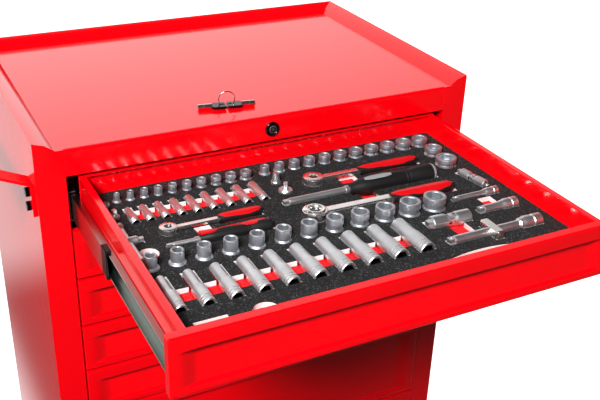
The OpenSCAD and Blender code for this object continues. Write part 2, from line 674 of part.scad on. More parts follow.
module tool_pockets() {
    for (s = small_layout) translate([s[0], s[1], small_low - foam_gap])
        cylinder(r = max(s[2], s[3]) + foam_gap, h = 40, $fn = 32);
    for (s = large_layout) translate([s[0], s[1], large_low - foam_gap])
        cylinder(r = max(s[2], s[3]) + foam_gap, h = 40, $fn = 32);
    for (s = small_deep_layout) lying_pocket_y(s[0], s[1], s[2], max(s[3], s[4]), deep_axis);
    for (s = large_deep_layout) lying_pocket_y(s[0], s[1], s[2], max(s[3], s[4]), deep_axis);
    for (a = adapter_layout) translate([a[0], a[1], foam_top - 8 - foam_gap])
        cylinder(r = a[2] + foam_gap, h = 40, $fn = 32);
    for (r = ratchet_layout) translate([r[0], r[1], ratchet_axis]) rotate([0, 0, r[6]]) {
        translate([0, 0, -r[4] * 0.4 - foam_gap]) cylinder(r = r[4] + foam_gap, h = 40, $fn = 48);
        lying_pocket_x(r[2] - r[0], r[5]);
        translate([r[2] - r[0], 0, 0]) lying_pocket_x(r[3] - r[2], r[5] + 4);
        // Room to lift the grip at its far side and end
        box([r[2] - r[0], 0, -r[5] - 4 - foam_gap], [r[3] - r[0] + grip_room, r[5] + 4 + grip_room, 40]);
    }
    for (b = bar_layout) translate([b[0], b[2], bar_axis]) {
        lying_pocket_x(b[1] - b[0], b[3]);
        translate([b[1] - b[0] - b[5], 0, 0]) lying_pocket_x(b[5], b[4]);
    }
    for (s = spinner_layout) translate([s[0], s[3], bar_axis]) rotate([0, 0, s[6]]) {
        lying_pocket_x(s[1] - s[0], s[4]);
        translate([s[1] - s[0], 0, 0]) lying_pocket_x(s[2] - s[1], s[5]);
    }
    for (j = joint_layout) translate([j[0], j[1], bar_axis]) rotate([0, 0, j[4]]) lying_pocket_x(j[2], j[3]);
    box([slider_place[0] - 6 - foam_gap, slider_place[1] - 19 - foam_gap, bar_axis - 9 - foam_gap],
        [slider_place[0] + 6 + foam_gap, slider_place[1] + 19 + foam_gap, 1]);
    lying_pocket_y(t_bar[0], t_bar[1], t_bar[2] - t_bar[1], 3, bar_axis);
    translate([t_bar[0] - 8, t_bar[1] + 50, bar_axis]) lying_pocket_x(26, 6);
}

// Where fingers reach in beside a tool, the black foam is cut away down to the red
finger_grooves = [[[-232, 298], [-50, 323]], [[-248, 100], [78, 126]], [[-175, 215], [-154, 250]],
    [[62, 283], [89, 305]], [[66, 228], [90, 255]], [[128, 94], [154, 125]], [[210, 148], [231, 169]],
    [[-250, 36], [-210, 58]]];
finger_holes = [[-247, 213, 13], [-167, 47, 16]];
// A shallow arc at the front edge: [x of its middle, y of its crown, width, rise, depth]
finger_arc = [130, 58, 98, 6, 20];
module finger_room() {
    for (g = finger_grooves) box([g[0][0], g[0][1], foam_top - foam_t - 1], [g[1][0], g[1][1], 1]);
    for (h = finger_holes) translate([h[0], h[1], foam_top - foam_t - 1])
        cylinder(r = h[2], h = foam_t + 5, $fn = 48);
    arc_r = (pow(finger_arc[2] / 2, 2) + pow(finger_arc[3], 2)) / (2 * finger_arc[3]);
    intersection() {
        translate([finger_arc[0], finger_arc[1] - arc_r, foam_top - foam_t - 1])
            cylinder(r = arc_r, h = foam_t + 5, $fn = 160);
        box([finger_arc[0] - finger_arc[2] / 2, finger_arc[1] - finger_arc[4], foam_top - foam_t - 1],
            [finger_arc[0] + finger_arc[2] / 2, finger_arc[1] + 1, foam_top + 5]);
    }
}

module foam_layer(low, high) box([-inner_x + foam_gap, front_t + sheet + foam_gap, low],
    [inner_x - foam_gap, drawer_d - sheet - foam_gap, high]);

module foam_inlay() color("#303030") in_drawer_1() difference() {
    foam_layer(foam_top - foam_t, foam_top);
    tool_pockets();
    finger_room();
}

module foam_base() color("#c01818") in_drawer_1() difference() {
    foam_layer(-tray_h(1) + sheet, foam_top - foam_t);
    tool_pockets();
}

// --- Nodes -------------------------------------------------------------------

left_side_panel();
right_side_panel();
back_panel();
top_panel();
base_panel();
slide_uprights();
fixed_slide_rails();
push_handle();
handle_bolts();
lock_barrel();
lock_plug();
lock_bar();
key_shanks();
key_heads();
key_ring();
fixed_caster_forks();
swivel_caster_plates();
caster_fasteners();
for (end = [["front", -1], ["rear", 1]]) {
    swivel_fork(end[1]);
    swivel_axle(end[1]);
    swivel_wheel(end[1]);
    brake_pedal(end[1]);
    fixed_wheel(end[1]);
}
drawer_1_tray();
drawer_1_front();
runners(1, open_by);  // drawer_1_runners
mid_runners(1, open_by / 2);  // drawer_1_mid_runners
for (i = [2 : DRAWERS]) {
    drawer(i);
    runners(i, 0);
    mid_runners(i, 0);
}
foam_inlay();
foam_base();
small_sockets();
small_deep_sockets();
large_sockets();
large_deep_sockets();
ratchets();
tool_grips();
extension_bars();
adapters();
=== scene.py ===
import bmesh
import bpy
from math import atan2, cos, pi, radians, sin
from mathutils import Matrix, Vector


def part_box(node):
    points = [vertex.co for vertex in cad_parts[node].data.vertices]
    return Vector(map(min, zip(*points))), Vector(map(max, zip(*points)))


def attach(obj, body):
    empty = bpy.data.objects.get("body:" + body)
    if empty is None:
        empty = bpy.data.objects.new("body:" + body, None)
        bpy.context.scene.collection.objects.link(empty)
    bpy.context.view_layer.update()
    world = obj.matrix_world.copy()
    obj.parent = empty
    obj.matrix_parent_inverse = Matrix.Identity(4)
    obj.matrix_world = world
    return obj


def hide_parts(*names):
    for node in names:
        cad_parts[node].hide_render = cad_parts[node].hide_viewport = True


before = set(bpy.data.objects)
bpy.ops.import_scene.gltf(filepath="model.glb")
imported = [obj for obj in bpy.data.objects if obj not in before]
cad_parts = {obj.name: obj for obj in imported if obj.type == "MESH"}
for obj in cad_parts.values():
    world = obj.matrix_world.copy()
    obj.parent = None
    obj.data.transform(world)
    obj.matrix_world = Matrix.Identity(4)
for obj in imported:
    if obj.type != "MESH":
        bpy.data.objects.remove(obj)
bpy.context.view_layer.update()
mm = 0.001


# --- Camera, floor and light ---------------------------------------------------
# A view from the left of the front and above, through a short telephoto lens, with one
# large softbox. The floor and the sky are of uneven brightness, as said beside each.

top_low, top_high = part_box("top_panel")
camera_azimuth = radians(-27.91)
camera_elevation = radians(27.88)
camera_roll = radians(2.04)
camera_from_rim = Vector((-528, -1090, 491)) * mm
camera = bpy.data.objects.new("camera", bpy.data.cameras.new("camera"))
camera.data.lens = 54.74
camera.data.sensor_width = 36
camera.matrix_world = (
    Matrix.Translation(Vector((0, top_low.y, top_high.z)) + camera_from_rim)
    @ Matrix.Rotation(camera_azimuth, 4, "Z")
    @ Matrix.Rotation(pi / 2 - camera_elevation, 4, "X")
    @ Matrix.Rotation(camera_roll, 4, "Z")
)
bpy.context.scene.collection.objects.link(camera)
bpy.context.scene.camera = camera
bpy.context.scene.view_settings.view_transform = "Standard"


def linear(colour):
    """An sRGB hex colour as linear RGBA."""
    channels = [int(colour[k : k + 2], 16) / 255 for k in (1, 3, 5)]
    return [c / 12.92 if c <= 0.04045 else ((c + 0.055) / 1.055) ** 2.4 for c in channels] + [1]


def add_node(tree, kind, values=None, **settings):
    """Adds a node; values holds its inputs by name or number, each a constant or another node's output."""
    node = tree.nodes.new(kind)
    for name, value in settings.items():
        setattr(node, name, value)
    for name, value in (values or {}).items():
        if isinstance(value, bpy.types.NodeSocket):
            tree.links.new(value, node.inputs[name])
        else:
            node.inputs[name].default_value = value
    return node


def new_material(name, **shader):
    """A Principled material; its shader's sockets are set by name, with underscores for spaces."""
    made = bpy.data.materials.new(name)
    made.use_nodes = True
    tree = made.node_tree
    tree.nodes.clear()
    bsdf = add_node(tree, "ShaderNodeBsdfPrincipled", {k.replace("_", " "): v for k, v in shader.items()})
    add_node(tree, "ShaderNodeOutputMaterial", {"Surface": bsdf.outputs[0]})
    return made, tree, bsdf


floor_mesh = bmesh.new()
bmesh.ops.create_grid(floor_mesh, x_segments=1, y_segments=1, size=12)
floor = bpy.data.objects.new("floor", bpy.data.meshes.new("floor"))
floor_mesh.to_mesh(floor.data)
bpy.context.scene.collection.objects.link(floor)
# Pale paper that gives off uneven light of its own: strong behind and to the right of the object,
# none in front and to the left, so the floor is not one even tone
seamless_paper, paper_tree, paper = new_material("seamless paper", Base_Color=linear("#C4C4C4"),
                                                 Roughness=0.95,
                                                 Specular_IOR_Level=0.1, Emission_Color=linear("#FFFFFF"))
paper_place = add_node(paper_tree, "ShaderNodeTexCoord").outputs["Object"]
paper_parts = add_node(paper_tree, "ShaderNodeSeparateXYZ", {0: paper_place})
right_glow = add_node(paper_tree, "ShaderNodeMapRange", {"Value": paper_parts.outputs["Y"], "From Min": -0.5,
                                                         "From Max": 0.15, "To Min": 0.0, "To Max": 1.5},
                      interpolation_type="SMOOTHSTEP")
left_glow = add_node(paper_tree, "ShaderNodeMapRange", {"Value": paper_parts.outputs["Y"], "From Min": 0.85,
                                                        "From Max": 1.2, "To Min": 0.0, "To Max": 0.7},
                     interpolation_type="SMOOTHSTEP")
paper_side = add_node(paper_tree, "ShaderNodeMapRange", {"Value": paper_parts.outputs["X"], "From Min": -0.42,
                                                         "From Max": -0.34})
paper_glow = add_node(paper_tree, "ShaderNodeMix", {"Factor": paper_side.outputs[0], 2: left_glow.outputs[0],
                                                    3: right_glow.outputs[0]})
paper_tree.links.new(paper_glow.outputs[0], paper.inputs["Emission Strength"])
floor.data.materials.append(seamless_paper)

world = bpy.data.worlds.new("studio")
world.use_nodes = True
# The sky is uneven: bright behind the object and almost dark in front of it
sky = world.node_tree.nodes["Background"]
sky_way = add_node(world.node_tree, "ShaderNodeTexCoord").outputs["Generated"]
sky_parts = add_node(world.node_tree, "ShaderNodeSeparateXYZ", {0: sky_way})
sky.inputs["Color"].default_value = linear("#FFFFFF")
sky_glow = add_node(world.node_tree, "ShaderNodeMapRange", {"Value": sky_parts.outputs["Y"], "From Min": 0.5,
                                                            "From Max": 0.95, "To Min": 0.03, "To Max": 1.75})
world.node_tree.links.new(sky_glow.outputs[0], sky.inputs["Strength"])
bpy.context.scene.world = world

# One large softbox to the left; it is flagged off the paper, which has its own light
off_paper = bpy.data.collections.new("flagged off the lamp")
off_paper.objects.link(floor)
off_paper.collection_objects[0].light_linking.link_state = "EXCLUDE"
softbox = bpy.data.objects.new("softbox", bpy.data.lights.new("softbox", "AREA"))
softbox.data.size = 1.0
softbox.data.energy = 270
softbox.location = (-2.0, -2.4, 3.2)
softbox.rotation_euler = (Vector((0, -0.2, 0.7)) - softbox.location).to_track_quat("-Z", "Y").to_euler()
softbox.light_linking.receiver_collection = off_paper
bpy.context.scene.collection.objects.link(softbox)


# --- Cabinet panels --------------------------------------------------------------
# Folded 1.2 mm steel sheet, spot-welded and powder-coated in glossy red: two sides
# that run round into the front posts, the rimmed top, the back and the base.

def powder_coat(name, colour, shade):
    """Cured powder: a deep even colour, a clear wet gloss, and the faint orange peel of the melt."""
    made, tree, bsdf = new_material(name, Roughness=0.12, IOR=1.5)
    place = add_node(tree, "ShaderNodeTexCoord").outputs["Object"]
    # Orange peel is about 2 mm from crest to crest
    peel = add_node(tree, "ShaderNodeTexNoise", {"Vector": place, "Scale": 1 / (2 * mm), "Detail": 1})
    drift = add_node(tree, "ShaderNodeTexNoise", {"Vector": place, "Scale": 1 / (180 * mm), "Detail": 3})
    mixed = add_node(tree, "ShaderNodeMix", {"Factor": drift.outputs["Fac"], 6: linear(colour),
                                             7: linear(shade)},
                     data_type="RGBA")
    bump = add_node(tree, "ShaderNodeBump", {"Height": peel.outputs["Fac"], "Strength": 0.06,
                                             "Distance": 0.1 * mm})
    tree.links.new(mixed.outputs[2], bsdf.inputs["Base Color"])
    tree.links.new(bump.outputs[0], bsdf.inputs["Normal"])
    return made


red_powder_coat = powder_coat("red powder coat", "#F2000D", "#E60009")


def new_piece(name, shape, body, material, slot, *nodes, sharp=35):
    """Turns a finished bmesh into a piece that rides on a body and stands for CAD nodes."""
    piece = bpy.data.objects.new(name, bpy.data.meshes.new(name))
    shape.to_mesh(piece.data)
    shape.free()
    piece.data.shade_smooth()
    piece.data.set_sharp_from_angle(angle=radians(sharp))
    for entry in material if isinstance(material, (list, tuple)) else [material]:
        piece.data.materials.append(entry)
    # Large flat faces keep their own normal beside the small rounds of their edges
    piece.modifiers.new("flat faces", "WEIGHTED_NORMAL").keep_sharp = True
    bpy.context.scene.collection.objects.link(piece)
    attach(piece, body)
    if nodes:
        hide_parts(*nodes)
    return piece


def node_shape(node):
    """A CAD node's shape as clean faces, ready for easing."""
    shape = bmesh.new()
    shape.from_mesh(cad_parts[node].data)
    bmesh.ops.remove_doubles(shape, verts=shape.verts, dist=0.001 * mm)
    bmesh.ops.dissolve_limit(shape, angle_limit=radians(0.5), verts=shape.verts, edges=shape.edges)
    return shape


def ease(shape, radius, segments=2, least=20, keep=None):
    """Rounds every edge that turns by more than the least angle, in degrees."""
    edges = [e for e in shape.edges if len(e.link_faces) == 2 and e.calc_face_angle(0) > radians(least)
             and (keep is None or keep(e))]
    bmesh.ops.bevel(shape, geom=edges, offset=radius, offset_type="OFFSET", affect="EDGES", segments=segments,
                    profile=0.5, material=-1, clamp_overlap=True)
    return shape


for panel in ("left_side_panel", "right_side_panel", "top_panel", "back_panel", "base_panel"):
    new_piece(panel + "_sheet", ease(node_shape(panel), 0.5 * mm), "cabinet", red_powder_coat, "red_paint",
              panel)


# --- Slides ----------------------------------------------------------------------
# Ball-bearing drawer slides: three rolled steel channels to a side, bright zinc with a
# pale passivated tint, and a moulded black block that closes the intermediate one's end.

def zinc_plate(name, colour, shade, roughness, grain):
    """Zinc on cold-rolled strip: bright, slightly milky, with faint rolling marks along its length."""
    made, tree, bsdf = new_material(name, Metallic=1.0, Roughness=roughness)
    place = add_node(tree, "ShaderNodeTexCoord").outputs["Object"]
    # Rolling marks: drawn out along the depth of the cabinet
    drawn = add_node(tree, "ShaderNodeMapping", {"Vector": place, "Scale": (1, 0.06, 1)})
    marks = add_node(tree, "ShaderNodeTexNoise",
                     {"Vector": drawn.outputs[0], "Scale": 1 / grain, "Detail": 3})
    mixed = add_node(tree, "ShaderNodeMix", {"Factor": marks.outputs["Fac"], 6: linear(colour),
                                             7: linear(shade)},
                     data_type="RGBA")
    bump = add_node(tree, "ShaderNodeBump", {"Height": marks.outputs["Fac"], "Strength": 0.15,
                                             "Distance": 0.05 * mm})
    tree.links.new(mixed.outputs[2], bsdf.inputs["Base Color"])
    tree.links.new(bump.outputs[0], bsdf.inputs["Normal"])
    return made


slide_zinc = zinc_plate("passivated zinc", "#BCC2BC", "#8F9A93", 0.24, 3 * mm)


def moulded(name, colour, roughness, texture=0.4 * mm, depth=0.08 * mm):
    """Moulded plastic: one colour through and through, with the fine spark-eroded texture of its tool."""
    made, tree, bsdf = new_material(name, Base_Color=linear(colour), Roughness=roughness, IOR=1.46)
    place = add_node(tree, "ShaderNodeTexCoord").outputs["Object"]
    grain = add_node(tree, "ShaderNodeTexNoise", {"Vector": place, "Scale": 1 / texture, "Detail": 2})
    bump = add_node(tree, "ShaderNodeBump", {"Height": grain.outputs["Fac"], "Strength": 0.3,
                                             "Distance": depth})
    tree.links.new(bump.outputs[0], bsdf.inputs["Normal"])
    return made


black_acetal = moulded("black acetal", "#0C0C0D", 0.35)


def block(shape, low, high, radius=0.0, segments=2):
    """A box between two corners, with all its edges rounded."""
    low, high = Vector(low), Vector(high)
    made = bmesh.ops.create_cube(shape, size=1)["verts"]
    bmesh.ops.scale(shape, vec=high - low, verts=made)
    bmesh.ops.translate(shape, vec=(low + high) / 2, verts=made)
    if radius:
        edges = list({e for v in made for e in v.link_edges})
        bevelled = bmesh.ops.bevel(shape, geom=edges, offset=radius, offset_type="OFFSET", affect="EDGES",
                                   segments=segments, profile=0.5, material=-1, clamp_overlap=True)
        made = list({v for f in bevelled["faces"] for v in f.verts})
    return made


end_block_length = 20 * mm
end_block_wall = 2.4 * mm
end_block_half = 20.2 * mm
drawer_count = sum(name.endswith("_mid_runners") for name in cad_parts)
for i in range(1, drawer_count + 1):
    for part, body in ((f"drawer_{i}_runners", f"drawer_{i}"),
                       (f"drawer_{i}_mid_runners", f"drawer_{i}_mid")):
        new_piece(part + "_rolled", ease(node_shape(part), 0.35 * mm), body, slide_zinc, "zinc_steel", part)
    # The end blocks close the front ends of the intermediate members round the inner ones
    low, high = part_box(f"drawer_{i}_mid_runners")
    blocks = bmesh.new()
    mid_z = (low.z + high.z) / 2
    front, back = low.y - 2 * mm, low.y - 2 * mm + end_block_length
    for side in (-1, 1):
        outer = high.x + 0.6 * mm
        for near, far, bottom, top in ((outer - end_block_wall, outer, -end_block_half, end_block_half),
                                       (outer - 8 * mm, outer, end_block_half - 3 * mm, end_block_half),
                                       (outer - 8 * mm, outer, -end_block_half, 3 * mm - end_block_half)):
            xs = sorted((side * near, side * far))
            block(blocks, (xs[0], front, mid_z + bottom), (xs[1], back, mid_z + top), 0.8 * mm)
        # Two ribs across the block's face
        for step in (0.3, 0.62):
            xs = sorted((side * (outer - 1 * mm), side * (outer + 0.25 * mm)))
            block(blocks, (xs[0], front + step * end_block_length, mid_z - end_block_half * 0.8),
                  (xs[1], front + step * end_block_length + 3 * mm, mid_z + end_block_half * 0.8), 0.2 * mm,
                  1)
    new_piece(f"drawer_{i}_end_blocks", blocks, f"drawer_{i}_mid", black_acetal, "black_plastic")

frame_zinc = zinc_plate("galvanised strip", "#B9BEBC", "#8E9694", 0.42, 6 * mm)
for part in ("slide_uprights", "fixed_slide_rails"):
    new_piece(part + "_rolled", ease(node_shape(part), 0.35 * mm), "cabinet", frame_zinc, "zinc_steel", part)


# --- Drawers -----------------------------------------------------------------------
# Each drawer is a folded tray with double side walls, spot-welded behind a front that is
# pressed from the same sheet: a pull band, a groove under it, a sloping face and a lower lip.

sheet = 1.2 * mm
front_depth = 12 * mm
band_height = 20 * mm
groove_depth = 9 * mm
lip_height = 9 * mm
end_width = 12 * mm
groove_fade = 24 * mm
tray_wall = 10 * mm
tray_gap_below = 4 * mm


def rounded(path, radius, steps=3):
    """The path with each inner corner turned through a small arc, as a folded sheet has."""
    points = [path[0]]
    for before, corner, after in zip(path, path[1:], path[2:]):
        into, out = (corner - before).normalized(), (after - corner).normalized()
        turn = into.angle(out)
        reach = min(radius * sin(turn / 2) / max(cos(turn / 2), 0.2), (corner - before).length / 2.2,
                    (after - corner).length / 2.2)
        start, end = corner - into * reach, corner + out * reach
        for k in range(steps + 1):
            t = k / steps
            points.append(start.lerp(corner, t).lerp(corner.lerp(end, t), t))
    return points + [path[-1]]


def swept(shape, path, places, bent):
    """Sweeps a path through places; bent gives each point of the path its spot at a place."""
    row = [shape.verts.new(bent(p, places[0])) for p in path]
    edges = [shape.edges.new(pair) for pair in zip(row, row[1:])]
    first = list(row)
    for place in places[1:]:
        made = bmesh.ops.extrude_edge_only(shape, edges=edges)["geom"]
        new_edges = [g for g in made if isinstance(g, bmesh.types.BMEdge)
                     and all(v in made for v in g.verts)]
        # The new row keeps the old row's order along the path
        partners = {}
        fresh = {g for g in made if isinstance(g, bmesh.types.BMVert)}
        for old in row:
            partners[old] = next(e.other_vert(old) for e in old.link_edges if e.other_vert(old) in fresh)
        row = [partners[old] for old in row]
        for vert, p in zip(row, path):
            vert.co = bent(p, place)
        edges = [e for e in new_edges if all(v in set(row) for v in e.verts)]
    return first, row


def pressed_front(width, height):
    """A pressed drawer front, its outer face on Y = 0 and its top on Z = 0, as thick as the sheet."""
    shape = bmesh.new()
    path = rounded([Vector(p) for p in ((0, front_depth, 0), (0, 0, 0), (0, 0, -band_height),
                                        (0, groove_depth, -band_height - 2 * mm),
                                        (0, 3.5 * mm, -height + lip_height + 3 * mm),
                                        (0, 0, -height + lip_height), (0, 0, -height),
                                        (0, front_depth, -height))], 2.2 * mm)

    def bent(point, x):
        inset = (width / 2 - abs(x) - end_width) / groove_fade
        full = min(max(inset, 0), 1)
        full = full * full * (3 - 2 * full)
        face = point.y if point.z > -0.01 * mm - 2 * mm or point.z < -height + 2 * mm else point.y * full
        return Vector((x, face, point.z))

    half = width / 2
    inner = [half - end_width - groove_fade * k / 6 for k in range(7)]
    columns = [-half] + [-x for x in inner] + inner[::-1] + [half]
    first, last = swept(shape, path, columns, bent)
    for row in (first, last):
        shape.faces.new(row)
    bmesh.ops.recalc_face_normals(shape, faces=shape.faces)
    ends = [e for e in shape.edges if len(e.link_faces) == 2 and e.calc_face_angle(0) > radians(60)
            and abs(abs(e.verts[0].co.x) - half) < 0.01 * mm and abs(abs(e.verts[1].co.x) - half) < 0.01 * mm]
    bmesh.ops.bevel(shape, geom=ends, offset=1.6 * mm, offset_type="OFFSET", affect="EDGES", segments=3,
                    profile=0.5,
                    material=-1, clamp_overlap=True)
    bmesh.ops.recalc_face_normals(shape, faces=shape.faces)
    bmesh.ops.solidify(shape, geom=shape.faces[:], thickness=sheet)
    return shape


def folded_tray(half_width, height, front, back):
    """A tray from its floor to the folded tops of its walls, its top on Z = 0."""
    shape = bmesh.new()
    half = [Vector(p) for p in ((half_width - tray_wall, 0, -height + 3 * mm),
                                (half_width - tray_wall, 0, -sheet / 2),
                                (half_width - sheet / 2, 0, -sheet / 2),
                                (half_width - sheet / 2, 0, -height + sheet / 2))]
    path = rounded(half + [Vector((-p.x, p.y, p.z)) for p in half[::-1]], 1.6 * mm)
    swept(shape, path, [front, back], lambda p, y: Vector((p.x, y, p.z)))
    bmesh.ops.recalc_face_normals(shape, faces=shape.faces)
    bmesh.ops.solidify(shape, geom=shape.faces[:], thickness=sheet)
    # Front and rear walls close the channel between the side walls
    for y in (front, back - sheet):
        block(shape, (-half_width, y, -height), (half_width, y + sheet, 0), 0.4 * mm, 1)
    # Lips that stiffen the rear wall's top, and the hook that the lock's bar catches
    block(shape, (-half_width, back - 6 * mm, -sheet), (half_width, back, 0), 0.4 * mm)
    block(shape, (-10 * mm, back, -9.5 * mm), (10 * mm, back + 16 * mm, -8 * mm), 0.3 * mm)
    block(shape, (-10 * mm, back + 14.5 * mm, -26 * mm), (10 * mm, back + 16 * mm, -8 * mm), 0.3 * mm)
    return shape


for i in range(1, drawer_count + 1):
    front_node = f"drawer_{i}_front" if i == 1 else f"drawer_{i}"
    tray_node = f"drawer_{i}_tray" if i == 1 else f"drawer_{i}"
    front_low, front_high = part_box(front_node)
    height = front_high.z - front_low.z
    corner = Vector((0, front_low.y, front_high.z))
    shape = pressed_front(2 * front_high.x, height)
    bmesh.ops.translate(shape, vec=corner, verts=shape.verts)
    new_piece(f"drawer_{i}_pressed_front", shape, f"drawer_{i}", red_powder_coat, "red_paint", front_node,
              sharp=40)
    tray_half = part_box("drawer_1_tray")[1].x
    tray_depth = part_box(tray_node)[1].y - 16 * mm - front_low.y
    shape = folded_tray(tray_half, height - tray_gap_below, front_depth, tray_depth)
    bmesh.ops.translate(shape, vec=corner, verts=shape.verts)
    new_piece(f"drawer_{i}_folded_tray", shape, f"drawer_{i}", red_powder_coat, "red_paint", tray_node,
              sharp=40)


# --- Foam inlay --------------------------------------------------------------------
# Two layers of closed-cell polyethylene foam: a black one that the tools' outlines are
# routed through, on a red one that shows wherever a tool is missing or a finger reaches in.

def cell_foam(name, colour, speckle, share, cell):
    """Split closed-cell foam: dull, with small pale flecks where cut bubbles catch the light."""
    made, tree, bsdf = new_material(name, Roughness=0.95, IOR=1.35)
    place = add_node(tree, "ShaderNodeTexCoord").outputs["Object"]
    cells = add_node(tree, "ShaderNodeTexVoronoi", {"Vector": place, "Scale": 1 / cell})
    cloud = add_node(tree, "ShaderNodeTexNoise", {"Vector": place, "Scale": 1 / (24 * cell), "Detail": 4})
    pick = add_node(tree, "ShaderNodeSeparateColor", {"Color": cells.outputs["Color"]})
    fleck = add_node(tree, "ShaderNodeMapRange",
                     {"Value": pick.outputs[0], "From Min": 1 - share, "From Max": 1})
    dulled = add_node(tree, "ShaderNodeMath", {0: fleck.outputs[0], 1: cloud.outputs["Fac"]},
                      operation="MULTIPLY")
    mixed = add_node(tree, "ShaderNodeMix", {"Factor": dulled.outputs[0], 6: linear(colour),
                                             7: linear(speckle)},
                     data_type="RGBA")
    bump = add_node(tree, "ShaderNodeBump", {"Height": cells.outputs["Distance"], "Strength": 0.3,
                                             "Distance": 0.15 * mm})
    tree.links.new(mixed.outputs[2], bsdf.inputs["Base Color"])
    tree.links.new(bump.outputs[0], bsdf.inputs["Normal"])
    return made


# Bubbles of about 1.6 mm, coarser than the real half millimetre so that the flecks show
black_foam = cell_foam("black closed-cell foam", "#171717", "#6C6B6F", 0.16, 1.3 * mm)
red_foam = cell_foam("red closed-cell foam", "#E00812", "#F04048", 0.5, 1.6 * mm)
cut_foam = cell_foam("routed foam edge", "#D9D4D2", "#FFFFFF", 0.5, 1.2 * mm)

inlay = node_shape("foam_inlay")
for face in inlay.faces:
    if abs(face.normal.z) < 0.5:
        face.material_index = 1
# The outer rim of the sheet is black too: only routed walls show the pale cut
inlay_low, inlay_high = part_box("foam_inlay")
for face in inlay.faces:
    middle = face.calc_center_median()
    rim = min(middle.x - inlay_low.x, inlay_high.x - middle.x, middle.y - inlay_low.y,
              inlay_high.y - middle.y)
    if rim < 0.1 * mm:
        face.material_index = 0
inlay_piece = new_piece("foam_inlay_black", inlay, "drawer_1", (black_foam, cut_foam), "black_foam",
                        "foam_inlay")
base_piece = new_piece("foam_inlay_red", node_shape("foam_base"), "drawer_1", red_foam, "red_foam",
                       "foam_base")


# --- Sockets -----------------------------------------------------------------------
# Chrome-vanadium sockets, forged, turned and satin chromed: upright short ones in three
# rows and long ones on their sides, each size a step larger than the one before.

drawer_origin = Vector((0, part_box("drawer_1_front")[0].y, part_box("drawer_1_front")[1].z))
foam_top = -31
small_height = 25
large_height = 38
small_low = foam_top - 13
large_low = foam_top - 20
deep_axis = foam_top - 1


def turned_steel(name, colour, shade, roughness, grain=0.5 * mm, stain=14 * mm):
    """Satin chrome over turned steel: bright grey, softly blurred, with faint cloudy handling marks."""
    made, tree, bsdf = new_material(name, Metallic=1.0)
    place = add_node(tree, "ShaderNodeTexCoord").outputs["Object"]
    blast = add_node(tree, "ShaderNodeTexNoise", {"Vector": place, "Scale": 1 / grain, "Detail": 2})
    cloud = add_node(tree, "ShaderNodeTexNoise", {"Vector": place, "Scale": 1 / stain, "Detail": 3})
    mixed = add_node(tree, "ShaderNodeMix", {"Factor": cloud.outputs["Fac"], 6: linear(colour),
                                             7: linear(shade)},
                     data_type="RGBA")
    rough = add_node(tree, "ShaderNodeMapRange", {"Value": cloud.outputs["Fac"], "To Min": roughness * 0.75,
                                                  "To Max": roughness * 1.25})
    bump = add_node(tree, "ShaderNodeBump", {"Height": blast.outputs["Fac"], "Strength": 0.25,
                                             "Distance": 0.03 * mm})
    tree.links.new(mixed.outputs[2], bsdf.inputs["Base Color"])
    tree.links.new(rough.outputs[0], bsdf.inputs["Roughness"])
    tree.links.new(bump.outputs[0], bsdf.inputs["Normal"])
    return made


satin_chrome = turned_steel("satin chrome", "#EDEEEE", "#D2D4D8", 0.42)
blasted_chrome = turned_steel("blasted chrome", "#D2D6DB", "#B4B9C0", 0.5)
bright_chrome = turned_steel("bright chrome", "#FFFDF8", "#E2E1DF", 0.27)
# Dark grey steel: the joint pins' own finish, and painted shade on the ratchet buttons in the heads' hollows
phosphated_steel_and_painted_hole_shade = turned_steel("phosphated steel and painted hole shade", "#6A6D70", "#4A4D50", 0.4)
# Dark steel used as painted shade: it colours the bore faces inside the deep sockets' mouths
bore_painted_shade = turned_steel("steel bore with painted shade", "#2A2B2D", "#1C1D1F", 0.5)


def lathe(shape, profile, steps=36, broach=None):
    """Turns a profile of (radius, height) about Z; broach = (corners, radius, flat's share) shapes its bore."""
    verts = [shape.verts.new((r * mm, 0, z * mm)) for r, z in profile]
    edges = [shape.edges.new(pair) for pair in zip(verts, verts[1:])]
    before = set(shape.verts) - set(verts)
    bmesh.ops.spin(shape, geom=verts + edges, cent=(0, 0, 0), axis=(0, 0, 1), angle=2 * pi, steps=steps,
                   use_merge=True)
    made = [v for v in shape.verts if v not in before]
    bmesh.ops.remove_doubles(shape, verts=made, dist=0.001 * mm)
    made = [v for v in shape.verts if v.is_valid and v not in before]
    if broach:
        corners, radius, floor_z, top_z = broach
        for v in made:
            r = Vector((v.co.x, v.co.y)).length
            if 0.01 * mm < r < radius * 1.02 * mm and floor_z * mm < v.co.z < top_z * mm:
                sector = 2 * pi / corners
                turn = (atan2(v.co.y, v.co.x) + 10 * pi) % sector - sector / 2
                flat = cos(sector / 2) / cos(turn)
                v.co.x, v.co.y = v.co.x * flat, v.co.y * flat
    bmesh.ops.recalc_face_normals(shape, faces=list({f for v in made for f in v.link_faces}))
    return made


def put(shape, verts, place, turn=0.0, lay=False):
    """Moves new vertices into the top drawer; lay tips what stood along Z so that it runs along Y."""
    if lay:
        bmesh.ops.rotate(shape, cent=(0, 0, 0), matrix=Matrix.Rotation(-pi / 2, 3, "X"), verts=verts)
    if turn:
        bmesh.ops.rotate(shape, cent=(0, 0, 0), matrix=Matrix.Rotation(radians(turn), 3, "Z"), verts=verts)
    bmesh.ops.translate(shape, vec=drawer_origin + Vector(place) * mm, verts=verts)


